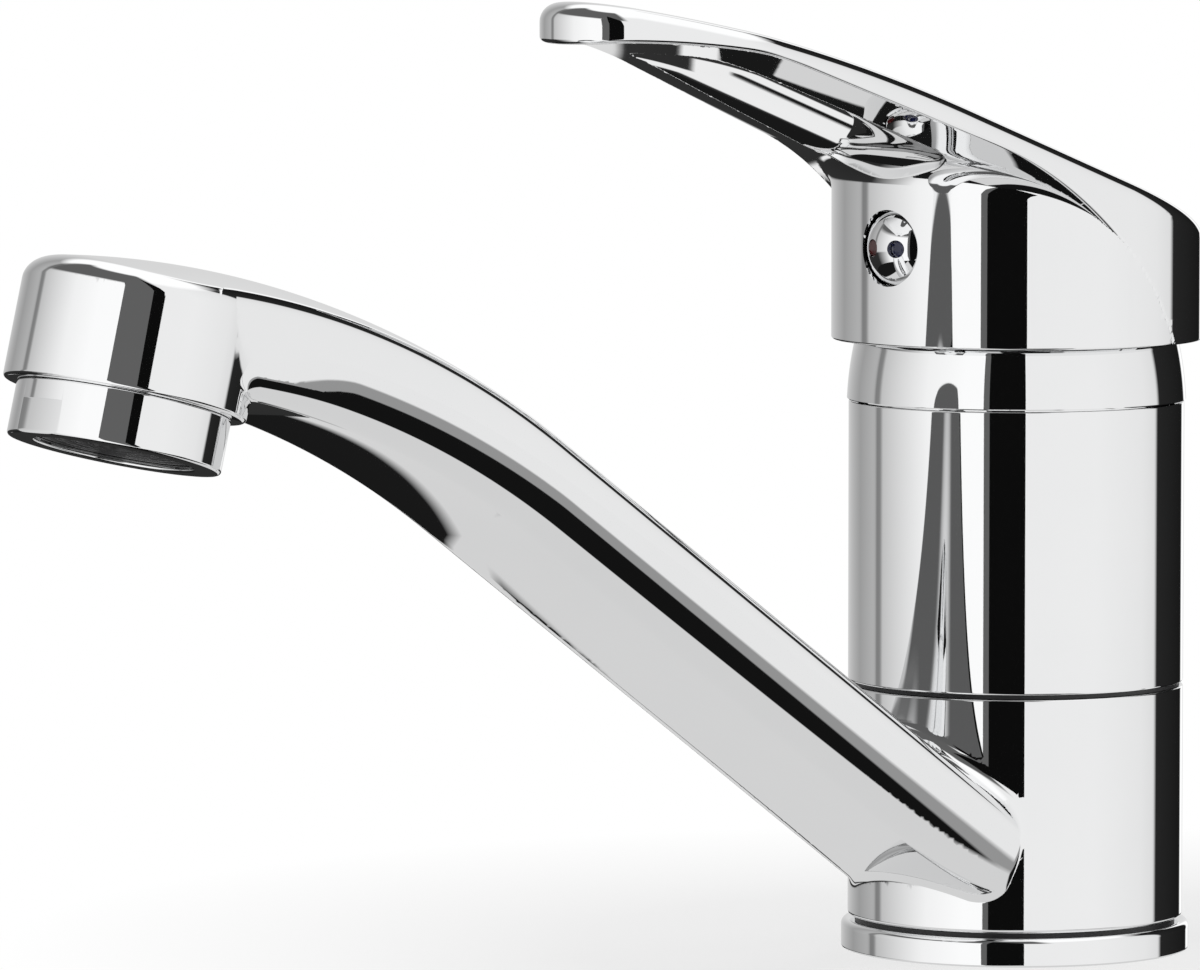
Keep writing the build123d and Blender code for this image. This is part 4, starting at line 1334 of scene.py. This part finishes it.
wide = dot_radius - 0.05
dot_section = [(0, dot_low), (wide, dot_low), (wide, dot_low + 0.5), (wide - 0.15, dot_low + 0.62),
               (wide * 0.6, dot_low + 0.68), (0, dot_low + enamel_depth)]
# The enamel tones are near black: partly the enamel's own colour, partly painted shade in the dots'
# recesses.
for side, name, tone in ((-1, "hot", (0.06, 0.006, 0.006)), (1, "cold", (0.005, 0.008, 0.05))):
    paler = tuple(c * 1.35 + 0.003 for c in tone)
    enamel_and_painted_shade = moulded(
        name + "_enamel", tone, paler, roughness=(0.12, 0.22),
        grain_size=0.0002, patch_size=0.0015, relief=0.000004, coat=0.4)
    points, faces = turned(dot_section, 48)
    dot_mesh = to_hood_front(mesh_of(points + (side * dot_offset, 0, 0), faces))
    dress(dot_mesh, name + "_dot_enamelled", enamel_and_painted_shade, "lever", [name + "_dot"])


# Floor, light and camera.
# A pale sweep under soft boxes, as product photographs are made. What the plate mirrors is the studio
# round it: white panels with grey and black between them, two cards by the camera, and the table.

def grey(level):
    return (level, level, level, 1)


def levels(tree, value, stops):
    """A light level that runs through (position, level) pairs."""
    ramp = tree.nodes.new("ShaderNodeValToRGB")
    elements = ramp.color_ramp.elements
    while len(elements) < len(stops):
        elements.new(0.5)
    for element, (position, level) in zip(elements, stops):
        element.position = position
    for element, (position, level) in zip(elements, stops):
        element.color = grey(level)
    tree.links.new(value, ramp.inputs["Fac"])
    return ramp.outputs["Color"]


world = bpy.data.worlds.new("studio")
bpy.context.scene.world = world
world.use_nodes = True
sky = world.node_tree
sky.nodes.clear()
direction = add_node(sky, "ShaderNodeTexCoord").outputs["Generated"]
split = add_node(sky, "ShaderNodeSeparateXYZ", {"Vector": direction})
around = maths(sky, "ARCTAN2", split.outputs["X"], maths(sky, "MULTIPLY", split.outputs["Y"], -1.0))
first_azimuth = -162.0
turned_share = mapped(
    sky, around, math.radians(first_azimuth), math.radians(first_azimuth + 360), clamp=False)
wrapped = maths(sky, "FRACT", turned_share)


def round_the_room(stops):
    """A light level from (azimuth, level) pairs, once round the object. Azimuth 0 is the spout's side."""
    return levels(sky, wrapped, [((azimuth - first_azimuth) / 360, level) for azimuth, level in stops])


def by_height(stops):
    """A light level from (elevation, level) pairs, from straight down to straight up."""
    return levels(sky, mapped(sky, split.outputs["Z"], -1.0, 1.0), [
        (math.sin(math.radians(elevation)) / 2 + 0.5, level) for elevation, level in stops])


# The room that the plate mirrors: its walls, its bright ceiling, and the dark gap below the table's edge.
walls = round_the_room([
    (-162, 0.015), (-159, 0.015), (-157, 1.1), (-150, 1.1), (-146, 0.8), (-124, 0.63), (-92, 0.36),
    (-73, 0.47), (-70, 0.45), (-68, 0.23), (-64, 0.24), (-61, 0.58), (-50, 0.69), (-20, 0.98),
    (8, 1.08), (40, 1.08), (51, 0.92), (100, 0.93), (140, 0.87), (154, 0.8), (157, 0.02), (198, 0.01)])
ceiling_share = by_height([(-90, 0), (43, 0), (53, 1), (90, 1)])
low_share = by_height([(-90, 1), (-9.5, 1), (-7.5, 0), (90, 0)])
low_gap = by_height([(-90, 0.9), (-46, 0.9), (-42, 0.02), (-9, 0.03), (90, 0.03)])
low_strip = by_height([(-90, 0), (-27, 0), (-26, 1), (-20, 1), (-19, 0), (90, 0)])
strip_side = round_the_room([(-162, 0), (-142, 0), (-140, 1), (-122, 1), (-120, 0), (198, 0)])
gap_side = round_the_room([(-162, 1), (-60, 1), (-25, 0), (198, 0)])
mirrored = laid_over(sky, walls, grey(1.12), ceiling_share)
low = laid_over(sky, low_gap, grey(0.9), maths(sky, "MULTIPLY", low_strip, strip_side))
mirrored = laid_over(sky, mirrored, low, maths(sky, "MULTIPLY", low_share, gap_side))

# A mirror image of the plate in the plate shows a darker room overhead, in front of the lever.
hood_height = by_height([(-90, 0), (22, 0), (28, 1), (68, 1), (74, 0), (90, 0)])
hood_side = round_the_room([(-162, 0), (-75, 0), (-60, 1), (62, 1), (72, 0), (198, 0)])
hood_share = maths(sky, "MULTIPLY", hood_height, hood_side)
path = add_node(sky, "ShaderNodeLightPath")
twice = maths(sky, "GREATER_THAN", path.outputs["Ray Depth"], 1.5)
mirrored = laid_over(sky, mirrored, grey(0.12), maths(sky, "MULTIPLY", hood_share, twice))

# The camera sees white behind the object, and pale light falls on what doesn't mirror.
sees = maths(sky, "MAXIMUM", path.outputs["Is Glossy Ray"], path.outputs["Is Transmission Ray"])
plain = laid_over(sky, grey(0.55), grey(1), path.outputs["Is Camera Ray"])
room = laid_over(sky, plain, mirrored, sees)
shine = add_node(sky, "ShaderNodeBackground", {"Color": room, "Strength": 1.0})
add_node(sky, "ShaderNodeOutputWorld", {"Surface": shine.outputs[0]})

floor_radius = 200.0
floor_corners = 128
floor_round = [2 * math.pi * k / floor_corners for k in range(floor_corners)]
floor_mesh = bpy.data.meshes.new("floor")
floor_mesh.from_pydata(
    [(floor_radius * math.cos(a) * MM, floor_radius * math.sin(a) * MM, 0) for a in floor_round], [],
    [tuple(range(floor_corners))])
floor = bpy.data.objects.new("floor", floor_mesh)
bpy.context.scene.collection.objects.link(floor)
table, tree, shader = new_material("white_table")
tree.nodes.remove(shader)
spot = add_node(tree, "ShaderNodeTexCoord").outputs["Object"]
far = add_node(tree, "ShaderNodeVectorMath", {0: spot}, operation="LENGTH").outputs["Value"]


def right_of(start, end, soft=2.0):
    """0 to the left of a line on the table and 1 to its right, seen from its start to its end."""
    way = np.subtract(end, start) / math.dist(start, end)
    square = (way[1], -way[0], 0.0)
    across = add_node(tree, "ShaderNodeVectorMath", {0: spot, 1: square}, operation="DOT_PRODUCT")
    edge = (start[0] * way[1] - start[1] * way[0]) * MM
    return mapped(tree, across.outputs["Value"], edge - soft * MM / 2, edge + soft * MM / 2)


# What the plate mirrors of the table: white in the middle, with a dark wedge and a pale one to the
# right, a dark strip and a dark side to the left, and dark areas behind the body.
right_side = laid_over(tree, grey(0.007), grey(0.322), right_of((117, -42), (35, -8)))
right_side = laid_over(tree, right_side, grey(0.88), right_of((150, -27), (42, 2), 5))
pattern = laid_over(tree, grey(0.70), right_side, right_of((50, -90), (35, -8), 3))
strip_front = right_of((-63, -44.5), (-83, -62.5))
strip_back = right_of((-85.7, -59.5), (-65.7, -41.5))
strip_end = right_of((-77, -100), (-77, 0))
strip = maths(tree, "MULTIPLY", maths(tree, "MULTIPLY", strip_front, strip_back), strip_end)
left_dark = maths(tree, "MAXIMUM", strip, right_of((-241, 60.5), (-81, -64.5)))
pattern = laid_over(tree, pattern, grey(0.01), left_dark)
behind = maths(tree, "MULTIPLY", right_of((80, 45), (-80, 45)), right_of((80, 200), (20, 50)))
outer = maths(tree, "MULTIPLY", right_of((-75, 90), (-130, 35)), right_of((0, 25), (-100, 25)))
pattern = laid_over(tree, pattern, grey(0.01), maths(tree, "MAXIMUM", behind, outer))

# The camera sees a white table that keeps the object's shadow close to it. The plate mirrors the
# pattern, but looks through the table where it lies nearly edge on, past its far side.
fade = mapped(tree, far, 0.06, 0.14, 0.65, 1.0)
view = add_node(tree, "ShaderNodeLightPath")
matte = add_node(tree, "ShaderNodeBsdfDiffuse", {"Color": grey(0.85), "Roughness": 0.5})
bright = add_node(tree, "ShaderNodeEmission", {"Color": grey(1), "Strength": 1.0})
seen = add_node(tree, "ShaderNodeMixShader", {0: fade, 1: matte.outputs[0], 2: bright.outputs[0]})
glow = add_node(tree, "ShaderNodeEmission", {"Color": pattern, "Strength": 1.0})
open_air = add_node(tree, "ShaderNodeBsdfTransparent")
facing = add_node(tree, "ShaderNodeLayerWeight", {"Blend": 0.5}).outputs["Facing"]
shallow = maths(tree, "MULTIPLY", maths(tree, "GREATER_THAN", facing, 0.76), view.outputs["Is Glossy Ray"])
mirror_image = add_node(tree, "ShaderNodeMixShader", {
    0: shallow, 1: glow.outputs[0], 2: open_air.outputs[0]})
either = add_node(tree, "ShaderNodeMixShader", {
    0: view.outputs["Is Camera Ray"], 1: mirror_image.outputs[0], 2: seen.outputs[0]})
tree.links.new(either.outputs[0], tree.nodes["Material Output"].inputs["Surface"])
floor_mesh.materials.append(table)


def card(name, start, end, level):
    """An upright card beside the camera's view, seen only in the plate."""
    low, high = -60, 300
    mesh = bpy.data.meshes.new(name)
    (ax, ay), (bx, by) = start, end
    corners = [(ax, ay, low), (bx, by, low), (bx, by, high), (ax, ay, high)]
    mesh.from_pydata([tuple(p) for p in np.array(corners) * MM], [], [(0, 1, 2, 3)])
    material, nodes_of, plain_shader = new_material(name)
    nodes_of.nodes.remove(plain_shader)
    glow = add_node(nodes_of, "ShaderNodeEmission", {"Color": grey(level), "Strength": 1.0})
    nodes_of.links.new(glow.outputs[0], nodes_of.nodes["Material Output"].inputs["Surface"])
    mesh.materials.append(material)
    board = bpy.data.objects.new(name, mesh)
    board.visible_camera = False
    board.visible_diffuse = False
    board.visible_shadow = False
    bpy.context.scene.collection.objects.link(board)


card("grey_card", (112, -228), (185, -460), 0.125)
card("black_card", (112, -228), (330, -280), 0.004)


def soft_box(name, azimuth, elevation, distance, size, power):
    """A square lamp, in metres and watts, turned to the middle of the object."""
    middle = Vector((0, 0, 0.06))
    light = bpy.data.lights.new(name, "AREA")
    light.size = size
    light.energy = power
    lamp = bpy.data.objects.new(name, light)
    a, e = math.radians(azimuth), math.radians(elevation)
    way = Vector((math.sin(a) * math.cos(e), -math.cos(a) * math.cos(e), math.sin(e)))
    lamp.location = way * distance + middle
    lamp.rotation_euler = way.to_track_quat("Z", "Y").to_euler()
    lamp.visible_glossy = False
    bpy.context.scene.collection.objects.link(lamp)


soft_box("overhead_box", 20, 75, 0.9, 0.8, 2.0)
soft_box("side_box", -60, 30, 1.0, 0.7, 1.5)

camera = bpy.data.cameras.new("camera")
camera.lens = 283.6
camera.sensor_width = 36.0
eye = bpy.data.objects.new("camera", camera)
eye_left = 0.0571
eye_distance = 1.293
eye_height = 0.1702
right = Vector((0.69466, 0.71934, 0))
towards = Vector((0.71934, -0.69466, 0))
eye.location = right * -eye_left + towards * eye_distance + Vector((0, 0, eye_height))
pitch = math.radians(4.714)
look = -towards * math.cos(pitch) - Vector((0, 0, math.sin(pitch)))
eye.rotation_euler = look.to_track_quat("-Z", "Y").to_euler()
bpy.context.scene.collection.objects.link(eye)
bpy.context.scene.camera = eye
bpy.context.scene.view_settings.view_transform = "Standard"
